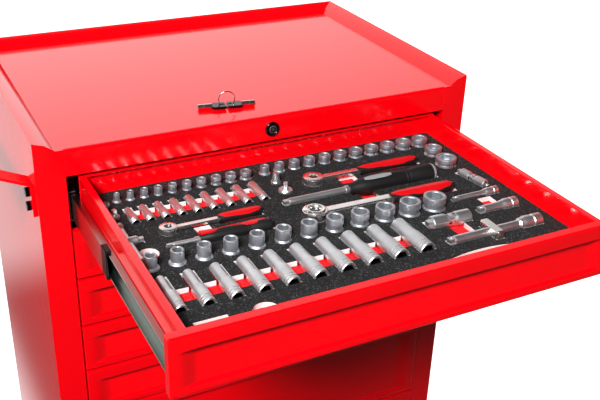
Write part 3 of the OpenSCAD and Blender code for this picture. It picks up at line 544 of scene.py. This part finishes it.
def upright_socket(drive_r, mouth_r, height):
    """Drive end down: a foot with a collar, a turned waist, a thick rim and a six- or twelve-point mouth."""
    bore = mouth_r * 0.71
    waist = min(drive_r, mouth_r) - 0.4
    shoulder = 0.62 if mouth_r < drive_r else 0.72
    body = [(drive_r - 0.5, 0), (drive_r, 0.5), (drive_r, height * 0.545), (drive_r - 0.4, height * 0.56),
            (waist + 0.3, height * 0.59), (waist, height * 0.60), (waist, height * shoulder),
            (mouth_r, height * (shoulder + 0.04))]
    rim = [(mouth_r, height - 1.0), (mouth_r - 0.3, height - 0.3), (mouth_r - 0.8, height),
           (bore + 0.7, height), (bore + 0.2, height - 0.4), (bore, height - 0.9)]
    inside = [(bore, height * 0.6), (bore * 0.9, height * 0.55), (bore * 0.45, height * 0.55),
              (bore * 0.45, height * 0.35), (0, height * 0.35)]
    return [(0, 0)] + body + rim + inside, (12 if mouth_r > 8.5 else 6, bore, height * 0.58, height - 0.6)


def row_a(i):
    return -260.5 + 18 * i + 0.24 * i * i, 359 - 0.5 * i, 5.9, 3.8 + 0.43 * i


def row_b(i):
    return -25 + 23 * i + 0.315 * i * i, 358 - 0.04 * i * i, 8.4, 6.6 + 0.55 * i


def row_l(i):
    mouth = 8 + 0.36 * i + 0.0026 * i ** 3
    return -255 + 33 * i + 0.27 * i * i, 182 - 0.8 * i, max(10.8, mouth - 1), mouth


small_layout = [row_a(i) for i in range(1, 11)] + [row_b(i) for i in range(11)]
small_layout += [(237, 317, 9, 13), (234, 279, 11, 15.5)]
large_layout = [row_l(i) for i in range(12)]
for node, layout, low, height in (("small_sockets", small_layout, small_low, small_height),
                                  ("large_sockets", large_layout, large_low, large_height)):
    for n, (x, y, drive_r, mouth_r) in enumerate(layout):
        socket = bmesh.new()
        profile, broach = upright_socket(drive_r, mouth_r, height)
        put(socket, lathe(socket, profile, 36, broach), (x, y, low), turn=7 * n)
        new_piece(f"{node[:-1]}_{n + 1}", socket, "drawer_1", blasted_chrome, "chrome_steel", node, sharp=28)


def deep_socket(length, mouth_r, drive_r):
    """Long socket, mouth first: a chamfered six-point mouth, two turned lines, a shoulder at mid length."""
    bore = mouth_r * 0.76
    step = length * 0.52
    profile = [(0, length * 0.3), (bore, length * 0.3), (bore, 1.0), (bore + 0.6, 0), (mouth_r - 1.0, 0),
               (mouth_r, 1.0)]
    for line in (0.07, 0.14):
        profile += [(mouth_r, length * line), (mouth_r - 0.5, length * line + 0.3),
                    (mouth_r - 0.5, length * line + 1.1), (mouth_r, length * line + 1.4)]
    profile += [(mouth_r, step - 2.5), (drive_r, step + 1.5), (drive_r, length - 1.4),
                (drive_r - 1.4, length),
                (drive_r * 0.5, length), (drive_r * 0.5, length - 6), (0, length - 6)]
    return profile


small_deep_layout = [(-236.5 + 20 * i + 0.3 * i * i, 292 - i, 42 + i, 6, 3.9 + 0.35 * i) for i in range(9)]
large_deep_layout = [(-253.5 + 33.5 * i + 0.27 * i * i, 83.5 - 0.3 * i, 73, 8.4 + 0.36 * i, 5.8 + 0.56 * i)
                     for i in range(10)]
for node, layout in (("small_deep_sockets", small_deep_layout), ("large_deep_sockets", large_deep_layout)):
    for n, (x, y, length, mouth_r, drive_r) in enumerate(layout):
        socket = bmesh.new()
        made = lathe(socket, deep_socket(length, mouth_r, drive_r), 36,
                     (6, mouth_r * 0.76, 0.5, length * 0.4))
        # The broached bore is painted dark: painted shade standing for the shadow inside the socket's mouth
        for face in socket.faces:
            middle = face.calc_center_median()
            if Vector((middle.x, middle.y)).length < mouth_r * 0.75 * mm and 0.8 * mm < middle.z < length * 0.31 * mm:
                face.material_index = 1
        put(socket, made, (x, y, deep_axis), lay=True)
        new_piece(f"{node[:-1]}_{n + 1}", socket, "drawer_1", (satin_chrome, bore_painted_shade), "chrome_steel",
                  node, sharp=28)


# --- Ratchets ------------------------------------------------------------------------
# Three reversible ratchets with forged, polished heads and satin shanks, in the three drive
# sizes. Their handles are moulded in two shots: a black core under a leaf-shaped red shell.

grip_red = moulded("red polypropylene", "#C80A12", 0.32)
grip_black = moulded("black thermoplastic rubber", "#121213", 0.5)
ratchet_axis = foam_top + 3


def leaf(shape, length, half_widths, thickness, swell=1.0):
    """A long rounded handle along +X: half its width at even steps, domed above and below."""
    rings = []
    count = len(half_widths) - 1
    sides = 20
    for k, half in enumerate(half_widths):
        x = length * k / count
        ring = []
        for s in range(sides):
            a = 2 * pi * s / sides
            y = half * (abs(cos(a)) ** (2 / 2.6)) * (1 if cos(a) >= 0 else -1)
            z = thickness / 2 * (abs(sin(a)) ** (2 / 2.2)) * (1 if sin(a) >= 0 else -1)
            z *= min(1, 0.35 + half / max(half_widths)) * swell
            ring.append(shape.verts.new((x * mm, y * mm, z * mm)))
        rings.append(ring)
    loops = [[shape.edges.new((ring[s], ring[(s + 1) % sides])) for s in range(sides)] for ring in rings]
    for one, two in zip(loops, loops[1:]):
        bmesh.ops.bridge_loops(shape, edges=one + two)
    shape.faces.new(rings[0])
    shape.faces.new(rings[-1])
    verts = [v for ring in rings for v in ring]
    bmesh.ops.recalc_face_normals(shape, faces=list({f for v in verts for f in v.link_faces}))
    return verts


def shank(shape, length, start_half, end_half, thickness):
    """A flat forged shank along +X with rounded edges."""
    verts = block(shape, (0, -start_half * mm, -thickness / 2 * mm),
                  (length * mm, start_half * mm, thickness / 2 * mm),
                  min(start_half, thickness / 2) * 0.55 * mm, 3)
    for v in verts:
        v.co.y *= 1 + (end_half / start_half - 1) * v.co.x / (length * mm)
    return verts


ratchet_layout = [(-207, 255, -139, -77, 12, 3.5, 0), (26, 306, 99, 200, 15, 4.5, -0.5),
                  (-18, 216, 97, 200, 17.5, 6, -1)]
for n, (x, y, shaft_end, grip_end, head_r, drive_r, turn) in enumerate(ratchet_layout):
    reach, grip = shaft_end - x, grip_end - shaft_end
    head_h = head_r * 0.8
    steel = bmesh.new()
    profile = [(0, -head_h / 2), (head_r - 1.5, -head_h / 2), (head_r, -head_h / 2 + 1.5),
               (head_r, head_h / 2 - 1.8),
               (head_r - 0.5, head_h / 2 - 0.6), (head_r - 1.8, head_h / 2),
               (head_r * 0.50, head_h / 2 + 0.5),
               (head_r * 0.44, head_h / 2 + 0.2), (head_r * 0.40, head_h / 2 - 1.6), (0, head_h / 2 - 1.6)]
    made = lathe(steel, profile, 40)
    neck = shank(steel, reach + 4 - head_r * 0.7, drive_r * 1.25, drive_r * 1.2, drive_r * 1.5)
    bmesh.ops.translate(steel, vec=(head_r * 0.7 * mm, 0, 0), verts=neck)
    if n == 2:
        # The largest has a raised selector ring with a thumb lever
        lathe(steel, [(head_r * 0.56, head_h / 2), (head_r * 0.78, head_h / 2),
                      (head_r * 0.76, head_h / 2 + 1.8),
                      (head_r * 0.70, head_h / 2 + 2.4), (head_r * 0.58, head_h / 2 + 2.2),
                      (head_r * 0.56, head_h / 2)])
        block(steel, (-head_r * 0.95 * mm, -2.4 * mm, (head_h / 2 - 0.2) * mm),
              (-head_r * 0.55 * mm, 2.4 * mm, (head_h / 2 + 2.2) * mm), 0.8 * mm)
    put(steel, list(steel.verts), (x, y, ratchet_axis), turn)
    new_piece(f"ratchet_{n + 1}", steel, "drawer_1", bright_chrome, "chrome_steel", "ratchets", sharp=30)
    # The release button is a real part; its dark grey is also painted shade, so the head's hollow reads as a dark
    # hole
    button = bmesh.new()
    put(button, lathe(button, [(0, 0), (head_r * 0.38, 0), (head_r * 0.36, 0.8), (0, 0.9)], 24),
        (x, y, ratchet_axis + head_h / 2 - 1.7))
    new_piece(f"ratchet_{n + 1}_button", button, "drawer_1", phosphated_steel_and_painted_hole_shade, "chrome_steel")
    wide = drive_r + 4
    core = bmesh.new()
    widths = [wide * w for w in (0.62, 0.80, 0.88, 0.90, 0.92, 0.96, 1.0, 1.0, 0.94, 0.78, 0.42)]
    made = leaf(core, grip, widths, wide * 1.45)
    bmesh.ops.translate(core, vec=(reach * mm, 0, 0), verts=made)
    put(core, list(core.verts), (x, y, ratchet_axis), turn)
    new_piece(f"ratchet_{n + 1}_grip_core", core, "drawer_1", grip_black, "grip_plastic", "tool_grips",
              sharp=50)
    shell = bmesh.new()
    inner = [w * s for w, s in zip(widths, (0.8, 0.95, 1.0, 1.0, 1.02, 1.02, 1.02, 1.02, 1.0, 1.0, 0.6))]
    made = leaf(shell, grip * 0.99, inner, wide * 1.75)
    bmesh.ops.translate(shell, vec=((reach + grip * 0.01) * mm, 0.4 * mm, 0), verts=made)
    put(shell, list(shell.verts), (x, y, ratchet_axis), turn)
    new_piece(f"ratchet_{n + 1}_grip_shell", shell, "drawer_1", grip_red, "grip_plastic", "tool_grips",
              sharp=50)


# --- Spinner handles -------------------------------------------------------------------
# Screwdriver handles with a square drive: a turned, chromed shaft in a moulded black grip.
# The small one carries a red inlay, the large one a smooth panel, two rings and a butt cap.

bar_axis = foam_top + 2
spinner_layout = [(-222, -180, -80, 219, 3, 9, -1), (-42, 58, 200, 262, 5, 14, 0)]
grip_grey = moulded("grey nylon", "#8A8D90", 0.4)
for n, (tip, start, end, y, shaft_r, grip_r, turn) in enumerate(spinner_layout):
    reach, grip = start - tip, end - start
    steel = bmesh.new()
    made = lathe(steel, [(0, 8), (shaft_r * 0.9, 8), (shaft_r, 9.5), (shaft_r, reach - 6),
                         (shaft_r + 1.2, reach - 5),
                         (shaft_r + 1.2, reach + 4), (0, reach + 4)], 28)
    bmesh.ops.rotate(steel, cent=(0, 0, 0), matrix=Matrix.Rotation(pi / 2, 3, "Y"), verts=made)
    drive = shaft_r * 0.68 * mm
    block(steel, (0, -drive, -drive), (9 * mm, drive, drive), 0.5 * mm)
    put(steel, list(steel.verts), (tip, y, bar_axis), turn)
    new_piece(f"spinner_{n + 1}_shaft", steel, "drawer_1", satin_chrome, "chrome_steel", "extension_bars",
              sharp=30)
    handle = bmesh.new()
    g = grip_r
    outline = [(0, 0), (g * 0.45, 0), (g * 0.55, 1.2), (g * 0.60, grip * 0.06), (g * 0.80, grip * 0.12),
               (g * 0.96, grip * 0.2), (g, grip * 0.34), (g * 0.96, grip * 0.5), (g * 0.86, grip * 0.60)]
    for ring in (0.63, 0.67):
        outline += [(g * 0.84, grip * ring), (g * 0.76, grip * (ring + 0.006)),
                    (g * 0.76, grip * (ring + 0.014)),
                    (g * 0.84, grip * (ring + 0.02))]
    outline += [(g * 0.90, grip * 0.74), (g, grip * 0.82), (g, grip * 0.92), (g * 0.9, grip * 0.975),
                (g * 0.62, grip), (0, grip)]
    made = lathe(handle, outline, 40)
    bmesh.ops.rotate(handle, cent=(0, 0, 0), matrix=Matrix.Rotation(pi / 2, 3, "Y"), verts=made)
    # Six shallow flutes run down the fat part of the grip
    for v in made:
        along = v.co.x / (grip * mm)
        depth = 0.10 * max(0, min(1, (along - 0.12) / 0.1, (0.58 - along) / 0.08))
        turned = atan2(v.co.z, v.co.y)
        squeeze = 1 - depth * max(0, cos(6 * turned)) ** 2
        v.co.y, v.co.z = v.co.y * squeeze, v.co.z * squeeze
    put(handle, list(handle.verts), (start, y, bar_axis), turn)
    new_piece(f"spinner_{n + 1}_grip", handle, "drawer_1", grip_black, "grip_plastic", "tool_grips", sharp=35)
    panel = bmesh.new()
    # The small grip's red inlay: a fishtail at the shaft and a leaf at the butt.
    # The large one's panel is blank
    inlays = (((0.02, 0.26, (0.62, 0.56, 0.5, 0.52, 0.44, 0.28, 0.08), 0.0),
               (0.24, 0.66, (0.05, 0.10, 0.12, 0.14, 0.2), 0.5),
               (0.58, 0.96, (0.12, 0.40, 0.56, 0.60, 0.55, 0.42, 0.12), 0.25)),
              ((0.17, 0.47, (0.18, 0.34, 0.38, 0.38, 0.38, 0.34, 0.18), -0.2),))[n]
    for low, high, widths, aside in inlays:
        made = leaf(panel, grip * (high - low), [g * w for w in widths], 3)
        bmesh.ops.translate(panel, vec=(grip * low * mm, g * aside * mm,
                                        (g * (1 - abs(aside) * 0.3) - (1.0, 0.2)[n]) * mm), verts=made)
    put(panel, list(panel.verts), (start, y, bar_axis), turn)
    new_piece(f"spinner_{n + 1}_panel", panel, "drawer_1", (grip_red, grip_grey)[n], "grip_plastic",
              "tool_grips")
    if n == 1:
        cap = bmesh.new()
        made = lathe(cap, [(0, 0), (g * 0.93, 0), (g * 0.93, grip * 0.02), (g * 0.86, grip * 0.035),
                           (g * 0.6, grip * 0.05), (0, grip * 0.052)], 32)
        bmesh.ops.rotate(cap, cent=(0, 0, 0), matrix=Matrix.Rotation(pi / 2, 3, "Y"), verts=made)
        put(cap, made, (start + grip * 0.955, y, bar_axis), turn)
        new_piece("spinner_2_cap", cap, "drawer_1", grip_grey, "grip_plastic", "tool_grips")


# --- Extensions, T-bar and adapters ------------------------------------------------------
# The small drive parts, turned and forged from the same satin-chromed steel: extension bars
# with a banded head, a sliding T-bar with its cross sleeve, pinned joints and cup adapters.

def along_x(shape, profile, steps=28):
    """A turned shape that runs along +X."""
    made = lathe(shape, profile, steps)
    bmesh.ops.rotate(shape, cent=(0, 0, 0), matrix=Matrix.Rotation(pi / 2, 3, "Y"), verts=made)
    return made


bar_layout = [(175, 250, 178, 4, 6.5, 22), (188, 251, 138, 6, 8.5, 26), (103, 249, 86, 6, 9.5, 34)]
for n, (start, end, y, shaft_r, head_r, head_l) in enumerate(bar_layout):
    length = end - start
    neck = length - head_l
    bar = bmesh.new()
    along_x(bar, [(0, 8), (shaft_r * 0.9, 8), (shaft_r, 9.5), (shaft_r, neck - 3), (head_r * 0.86, neck),
                  (head_r * 0.86, neck + head_l * 0.12), (head_r, neck + head_l * 0.2),
                  (head_r, neck + head_l * 0.46),
                  (head_r * 0.9, neck + head_l * 0.5), (head_r * 0.9, neck + head_l * 0.58),
                  (head_r, neck + head_l * 0.62), (head_r, length - 1), (head_r - 1, length),
                  (head_r * 0.55, length), (head_r * 0.55, length - 5), (0, length - 5)])
    square = shaft_r * 0.7 * mm
    block(bar, (0, -square, -square), (9 * mm, square, square), 0.6 * mm)
    # The spring ball that holds a socket on the square
    ball = bmesh.ops.create_icosphere(bar, subdivisions=2, radius=1.3 * mm)["verts"]
    bmesh.ops.translate(bar, vec=(4.5 * mm, 0, square), verts=ball)
    put(bar, list(bar.verts), (start, y, bar_axis))
    new_piece(f"extension_{n + 1}", bar, "drawer_1", satin_chrome, "chrome_steel", "extension_bars", sharp=30)

t_bar_x, t_bar_start, t_bar_end = -260, 197, 291
t_bar = bmesh.new()
length = t_bar_end - t_bar_start
made = along_x(t_bar, [(0, 0.6), (2.2, 0.6), (3, 1.6), (3, length - 12), (2.5, length - 11), (3, length - 10),
                       (4.4, length - 7), (5, length - 4), (4.6, length - 1), (0, length)])
bmesh.ops.rotate(t_bar, cent=(0, 0, 0), matrix=Matrix.Rotation(pi / 2, 3, "Z"), verts=made)
put(t_bar, made, (t_bar_x, t_bar_start, bar_axis))
sleeve = along_x(t_bar, [(0, 0), (4.2, 0), (5, 0.8), (6, 3), (6, 17), (5, 18.4), (5, 19), (0, 19)])
stub = block(t_bar, (19 * mm, -2.8 * mm, -2.8 * mm), (26 * mm, 2.8 * mm, 2.8 * mm), 0.5 * mm)
put(t_bar, sleeve + stub, (t_bar_x - 8, t_bar_start + 50, bar_axis))
new_piece("sliding_t_bar", t_bar, "drawer_1", satin_chrome, "chrome_steel", "extension_bars", sharp=30)

# Adapters: [x, y, radius, waist radius, waist height, height of the square on top]
adapter_layout = [(-261, 353, 7, 5, 0, 0), (-258, 317, 7, 4, 1.5, 7), (-23, 325, 7, 4.6, 12, 6),
                  (-22, 296, 10, 4, 1.5, 9)]
for n, (x, y, radius, waist, rise, square) in enumerate(adapter_layout):
    adapter = bmesh.new()
    profile = [(0, 0), (radius, 0), (radius, 10), (radius - 0.6, 11)]
    if square:
        profile += [(waist + 1, 11.4), (waist, 12 + rise * 0.6), (waist * 0.92, 12 + rise * 0.9),
                    (0, 12 + rise)]
    else:
        profile += [(radius - 1.6, 11.6), (radius - 2.2, 8), (0, 8)]
    made = lathe(adapter, profile, 32)
    if square:
        side = min(waist * 0.7, 3) * mm
        made += block(adapter, (-side, -side, (11 + rise * 0.8) * mm),
                      (side, side, (12 + min(rise, 1) + square * 0.95) * mm),
                      0.6 * mm)
    put(adapter, list(adapter.verts), (x, y, foam_top - 8), turn=20 * n)
    new_piece(f"adapter_{n + 1}", adapter, "drawer_1", satin_chrome, "chrome_steel", "adapters", sharp=30)

joint_layout = [(236, 250, 54, 7, -80), (102, 134, 66, 10, -2)]
for n, (x, y, length, radius, turn) in enumerate(joint_layout):
    yoke = bmesh.new()
    third = length * 0.36
    square = radius * 0.45 * mm
    block(yoke, (0.5 * mm, -square, -square), (8 * mm, square, square), 0.7 * mm)
    along_x(yoke, [(0, 7), (radius - 1, 7), (radius, 8), (radius, 2 + third), (radius * 0.93, 4.5 + third),
                   (radius * 0.6, 6.2 + third), (0, 7 + third)])
    along_x(yoke, [(0, length - third - 2), (radius * 0.6, length - third - 1),
                   (radius * 0.93, length - third + 1),
                   (radius, length - third + 4), (radius, length - 1.5), (radius - 1, length - 0.5),
                   (radius * 0.62, length - 0.5), (radius * 0.55, length - 1.2), (radius * 0.55, length - 8),
                   (0, length - 8)])
    # Two pairs of ears and the spider block between them
    middle = (length + 7) / 2
    for turned, centre in ((0, middle - 4), (1, middle + 4)):
        for s in (-1, 1):
            low, high = Vector((centre - 7, s * radius * 0.62 - 1.6, -radius * 0.5)), \
                Vector((centre + 7, s * radius * 0.62 + 1.6, radius * 0.5))
            ears = block(yoke, low * mm, high * mm, 1.2 * mm)
            if turned:
                bmesh.ops.rotate(yoke, cent=(0, 0, 0), matrix=Matrix.Rotation(pi / 2, 3, "X"), verts=ears)
    half = radius * 0.42 * mm
    block(yoke, (middle * mm - half, -half, -half), (middle * mm + half, half, half), 0.8 * mm)
    put(yoke, list(yoke.verts), (x, y, bar_axis), turn)
    new_piece(f"universal_joint_{n + 1}", yoke, "drawer_1", satin_chrome, "chrome_steel", "adapters",
              sharp=30)
    pins = bmesh.new()
    for turned, centre in ((0, middle - 4), (1, middle + 4)):
        pin = lathe(pins, [(0, -radius * 0.86), (1.9, -radius * 0.86), (1.9, radius * 0.86),
                           (0, radius * 0.86)], 16)
        bmesh.ops.rotate(pins, cent=(0, 0, 0), matrix=Matrix.Rotation(pi / 2 * (1 - turned), 3, "X"),
                         verts=pin)
        bmesh.ops.translate(pins, vec=(centre * mm, 0, 0), verts=pin)
    put(pins, list(pins.verts), (x, y, bar_axis), turn)
    new_piece(f"universal_joint_{n + 1}_pins", pins, "drawer_1", phosphated_steel_and_painted_hole_shade, "chrome_steel")

slider = bmesh.new()
block(slider, (-6 * mm, -19 * mm, -9 * mm), (6 * mm, 19 * mm, 9 * mm), 2.4 * mm, 3)
put(slider, list(slider.verts), (171, 86, bar_axis))
new_piece("sliding_head", slider, "drawer_1", bright_chrome, "chrome_steel", "adapters", sharp=30)


# --- Lock and keys -------------------------------------------------------------------------
# A cam lock with a black moulded cap and a nickelled plug; behind it a rod and crank lift the
# bar that blocks every drawer. Two tubular keys in black heads hang on a split wire ring.

gloss_black = moulded("polished black acetal", "#050506", 0.12, 2 * mm, 0.02 * mm)
nickel = turned_steel("nickel plate", "#E9E7E2", "#C4C3C0", 0.18)
lock_low, lock_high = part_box("lock_barrel")
lock_centre = Vector((0, lock_low.y, (lock_low.z + lock_high.z) / 2))
cap = bmesh.new()
made = lathe(cap, [(6.1, 27), (9.5, 27), (9.5, 3), (11, 3), (11, 1.6), (10.4, 0.7), (9.2, 0.15), (7.6, 0),
                   (6.9, 0.5),
                   (6.5, 1.5), (6.1, 2.2), (6.1, 27)], 48)
bmesh.ops.rotate(cap, cent=(0, 0, 0), matrix=Matrix.Rotation(-pi / 2, 3, "X"), verts=made)
bmesh.ops.translate(cap, vec=lock_centre, verts=made)
new_piece("lock_cap", cap, "cabinet", gloss_black, "black_plastic", "lock_barrel")
plug = ease(node_shape("lock_plug"), 0.25 * mm)
new_piece("lock_plug_turned", plug, "lock_plug", nickel, "chrome_steel", "lock_plug")
plug_face = bmesh.new()
made = lathe(plug_face, [(0, 0.9), (2.4, 0.9), (2.5, 0.1), (4.1, 0.1), (4.2, 0.6), (6, 0.6), (6, 1.6),
                         (0, 1.6)], 32)
bmesh.ops.rotate(plug_face, cent=(0, 0, 0), matrix=Matrix.Rotation(-pi / 2, 3, "X"), verts=made)
bmesh.ops.translate(plug_face, vec=lock_centre - Vector((0, 0.05 * mm, 0)), verts=made)
new_piece("lock_key_face", plug_face, "lock_plug", gloss_black, "black_plastic")
new_piece("lock_bar_cut", ease(node_shape("lock_bar"), 0.3 * mm), "lock_bar", frame_zinc, "zinc_steel",
          "lock_bar")

ring_low, ring_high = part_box("key_ring")
ring_centre = Vector(((ring_low.x + ring_high.x) / 2, (ring_low.y + ring_high.y) / 2, top_high.z))
flat_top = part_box("key_shanks")[0].z
key_turn = -9.5
for n, side in enumerate((-1, 1)):
    spot = Vector((ring_centre.x, ring_centre.y, flat_top))
    turned = Matrix.Rotation(radians(key_turn + (180 if side < 0 else 0)), 3, "Z")
    shank_shape = bmesh.new()
    made = along_x(shank_shape, [(0, 22), (4, 22), (4, 33), (3.6, 33.4), (3.6, 34.2), (4, 34.6), (4, 41.4),
                                 (3.6, 42),
                                 (2.9, 42), (2.8, 36), (0, 36)])
    # The side bit that turns the pins
    block(shank_shape, (36 * mm, 3.4 * mm, -1 * mm), (39 * mm, 5.2 * mm, 1 * mm), 0.3 * mm)
    bmesh.ops.translate(shank_shape, vec=(0, 0, 4 * mm), verts=shank_shape.verts)
    bmesh.ops.rotate(shank_shape, cent=(0, 0, 0), matrix=turned, verts=shank_shape.verts)
    bmesh.ops.translate(shank_shape, vec=spot, verts=shank_shape.verts)
    new_piece(f"key_{n + 1}_shank", shank_shape, "cabinet", nickel, "chrome_steel", "key_shanks", sharp=30)
new_piece("key_heads_moulded", ease(node_shape("key_heads"), 0.7 * mm, 3), "cabinet", gloss_black,
          "black_plastic",
          "key_heads")
ring = bmesh.new()
wire = bmesh.ops.create_circle(ring, segments=12, radius=0.9 * mm)["verts"]
bmesh.ops.translate(ring, vec=(12 * mm, 0, 0), verts=wire)
bmesh.ops.rotate(ring, cent=(12 * mm, 0, 0), matrix=Matrix.Rotation(pi / 2, 3, "X"), verts=wire)
bmesh.ops.spin(ring, geom=ring.verts[:] + ring.edges[:], cent=(0, 0, 0), axis=(0, 0, 1), angle=2 * pi,
               steps=64,
               use_merge=True)
bmesh.ops.remove_doubles(ring, verts=ring.verts, dist=0.001 * mm)
bmesh.ops.recalc_face_normals(ring, faces=ring.faces)
bmesh.ops.rotate(ring, cent=(0, 0, 0), matrix=Matrix.Rotation(pi / 2, 3, "X"), verts=ring.verts)
bmesh.ops.rotate(ring, cent=(0, 0, 0), matrix=Matrix.Rotation(radians(key_turn), 3, "Z"), verts=ring.verts)
bmesh.ops.translate(ring, vec=(ring_centre.x, ring_centre.y, (ring_low.z + ring_high.z) / 2),
                    verts=ring.verts)
new_piece("key_ring_wire", ring, "cabinet", nickel, "chrome_steel", "key_ring")


# --- Push handle ---------------------------------------------------------------------------
# A round tube between two flat steel arms, welded and powder-coated with the cabinet, and
# held by four black hexagon-head bolts with washers.

new_piece("push_handle_coated", ease(node_shape("push_handle"), 0.9 * mm, 3, least=30), "cabinet",
          red_powder_coat,
          "red_paint", "push_handle")
black_oxide = turned_steel("black oxide steel", "#1C1B1B", "#2E2C2B", 0.3)
new_piece("handle_bolts_blacked", ease(node_shape("handle_bolts"), 0.7 * mm, 2, least=40), "cabinet",
          black_oxide,
          "black_steel", "handle_bolts")


# --- Casters -------------------------------------------------------------------------------
# Pressed zinc-plated forks with a ball raceway, two that swivel and two fixed. Each wheel is
# a grey nylon core with a ribbed rubber tyre moulded on; a red pedal brakes the swivel pair.

caster_zinc = zinc_plate("bright zinc plate", "#D2D5D6", "#AEB3B6", 0.3, 5 * mm)
for node, body in (("fixed_caster_forks", "cabinet"), ("swivel_caster_plates", "cabinet"),
                   ("caster_fasteners", "cabinet"), ("front_swivel_fork", "front_swivel"),
                   ("rear_swivel_fork", "rear_swivel"), ("front_swivel_axle", "front_swivel"),
                   ("rear_swivel_axle", "rear_swivel")):
    new_piece(node + "_plated", ease(node_shape(node), 0.6 * mm, 2, least=40), body, caster_zinc,
              "zinc_steel", node)
pedal_red = moulded("red glass-filled nylon", "#B40F12", 0.38, 1 * mm, 0.1 * mm)
for end in ("front", "rear"):
    new_piece(f"{end}_brake_pedal_moulded", ease(node_shape(f"{end}_brake_pedal"), 0.9 * mm, 3, least=40),
              f"{end}_brake", pedal_red, "pedal_plastic", f"{end}_brake_pedal")

tyre_rubber = moulded("grey tread rubber", "#2C2D30", 0.7, 1.2 * mm, 0.2 * mm)
core_nylon = moulded("grey nylon core", "#8B8E92", 0.45, 1 * mm, 0.08 * mm)
for end in ("front", "rear"):
    for kind in ("swivel", "fixed"):
        node = f"{end}_{kind}_wheel"
        low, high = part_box(node)
        centre, radius, half = (low + high) / 2, (high.z - low.z) / 2 / mm, (high.y - low.y) / 2 / mm
        tyre = bmesh.new()
        tread = [(radius - 14, -half + 0.5), (radius - 5, -half), (radius - 2, -half + 2),
                 (radius, -half + 6)]
        for groove in (-5, 0, 5):
            tread += [(radius, groove - 1), (radius - 1.4, groove - 0.7), (radius - 1.4, groove + 0.7),
                      (radius, groove + 1)]
        tread += [(radius, half - 6), (radius - 2, half - 2), (radius - 5, half), (radius - 14, half - 0.5),
                  (radius - 14, -half + 0.5)]
        made = lathe(tyre, tread, 72)
        bmesh.ops.rotate(tyre, cent=(0, 0, 0), matrix=Matrix.Rotation(-pi / 2, 3, "X"), verts=made)
        bmesh.ops.translate(tyre, vec=centre, verts=made)
        new_piece(f"{node}_tyre", tyre, node, tyre_rubber, "wheel_rubber", node)
        core = bmesh.new()
        made = lathe(core, [(5.1, -half), (13, -half), (14, -half + 1), (18, -5), (radius - 20, -5),
                            (radius - 16, -half + 2), (radius - 14, -half + 2), (radius - 14, half - 2),
                            (radius - 16, half - 2), (radius - 20, 5), (18, 5), (14, half - 1), (13, half),
                            (5.1, half),
                            (5.1, -half)], 60)
        for spoke in range(6):
            for side in (-1, 1):
                low_y, high_y = sorted((side * 4.5, side * (half - 5)))
                rib = block(core, (16 * mm, -2 * mm, low_y * mm), ((radius - 16) * mm, 2 * mm, high_y * mm),
                            0.8 * mm)
                bmesh.ops.rotate(core, cent=(0, 0, 0), matrix=Matrix.Rotation(spoke * pi / 3, 3, "Z"),
                                 verts=rib)
        bmesh.ops.rotate(core, cent=(0, 0, 0), matrix=Matrix.Rotation(-pi / 2, 3, "X"), verts=core.verts)
        bmesh.ops.translate(core, vec=centre, verts=core.verts)
        new_piece(f"{node}_core", core, node, core_nylon, "wheel_rubber", node)
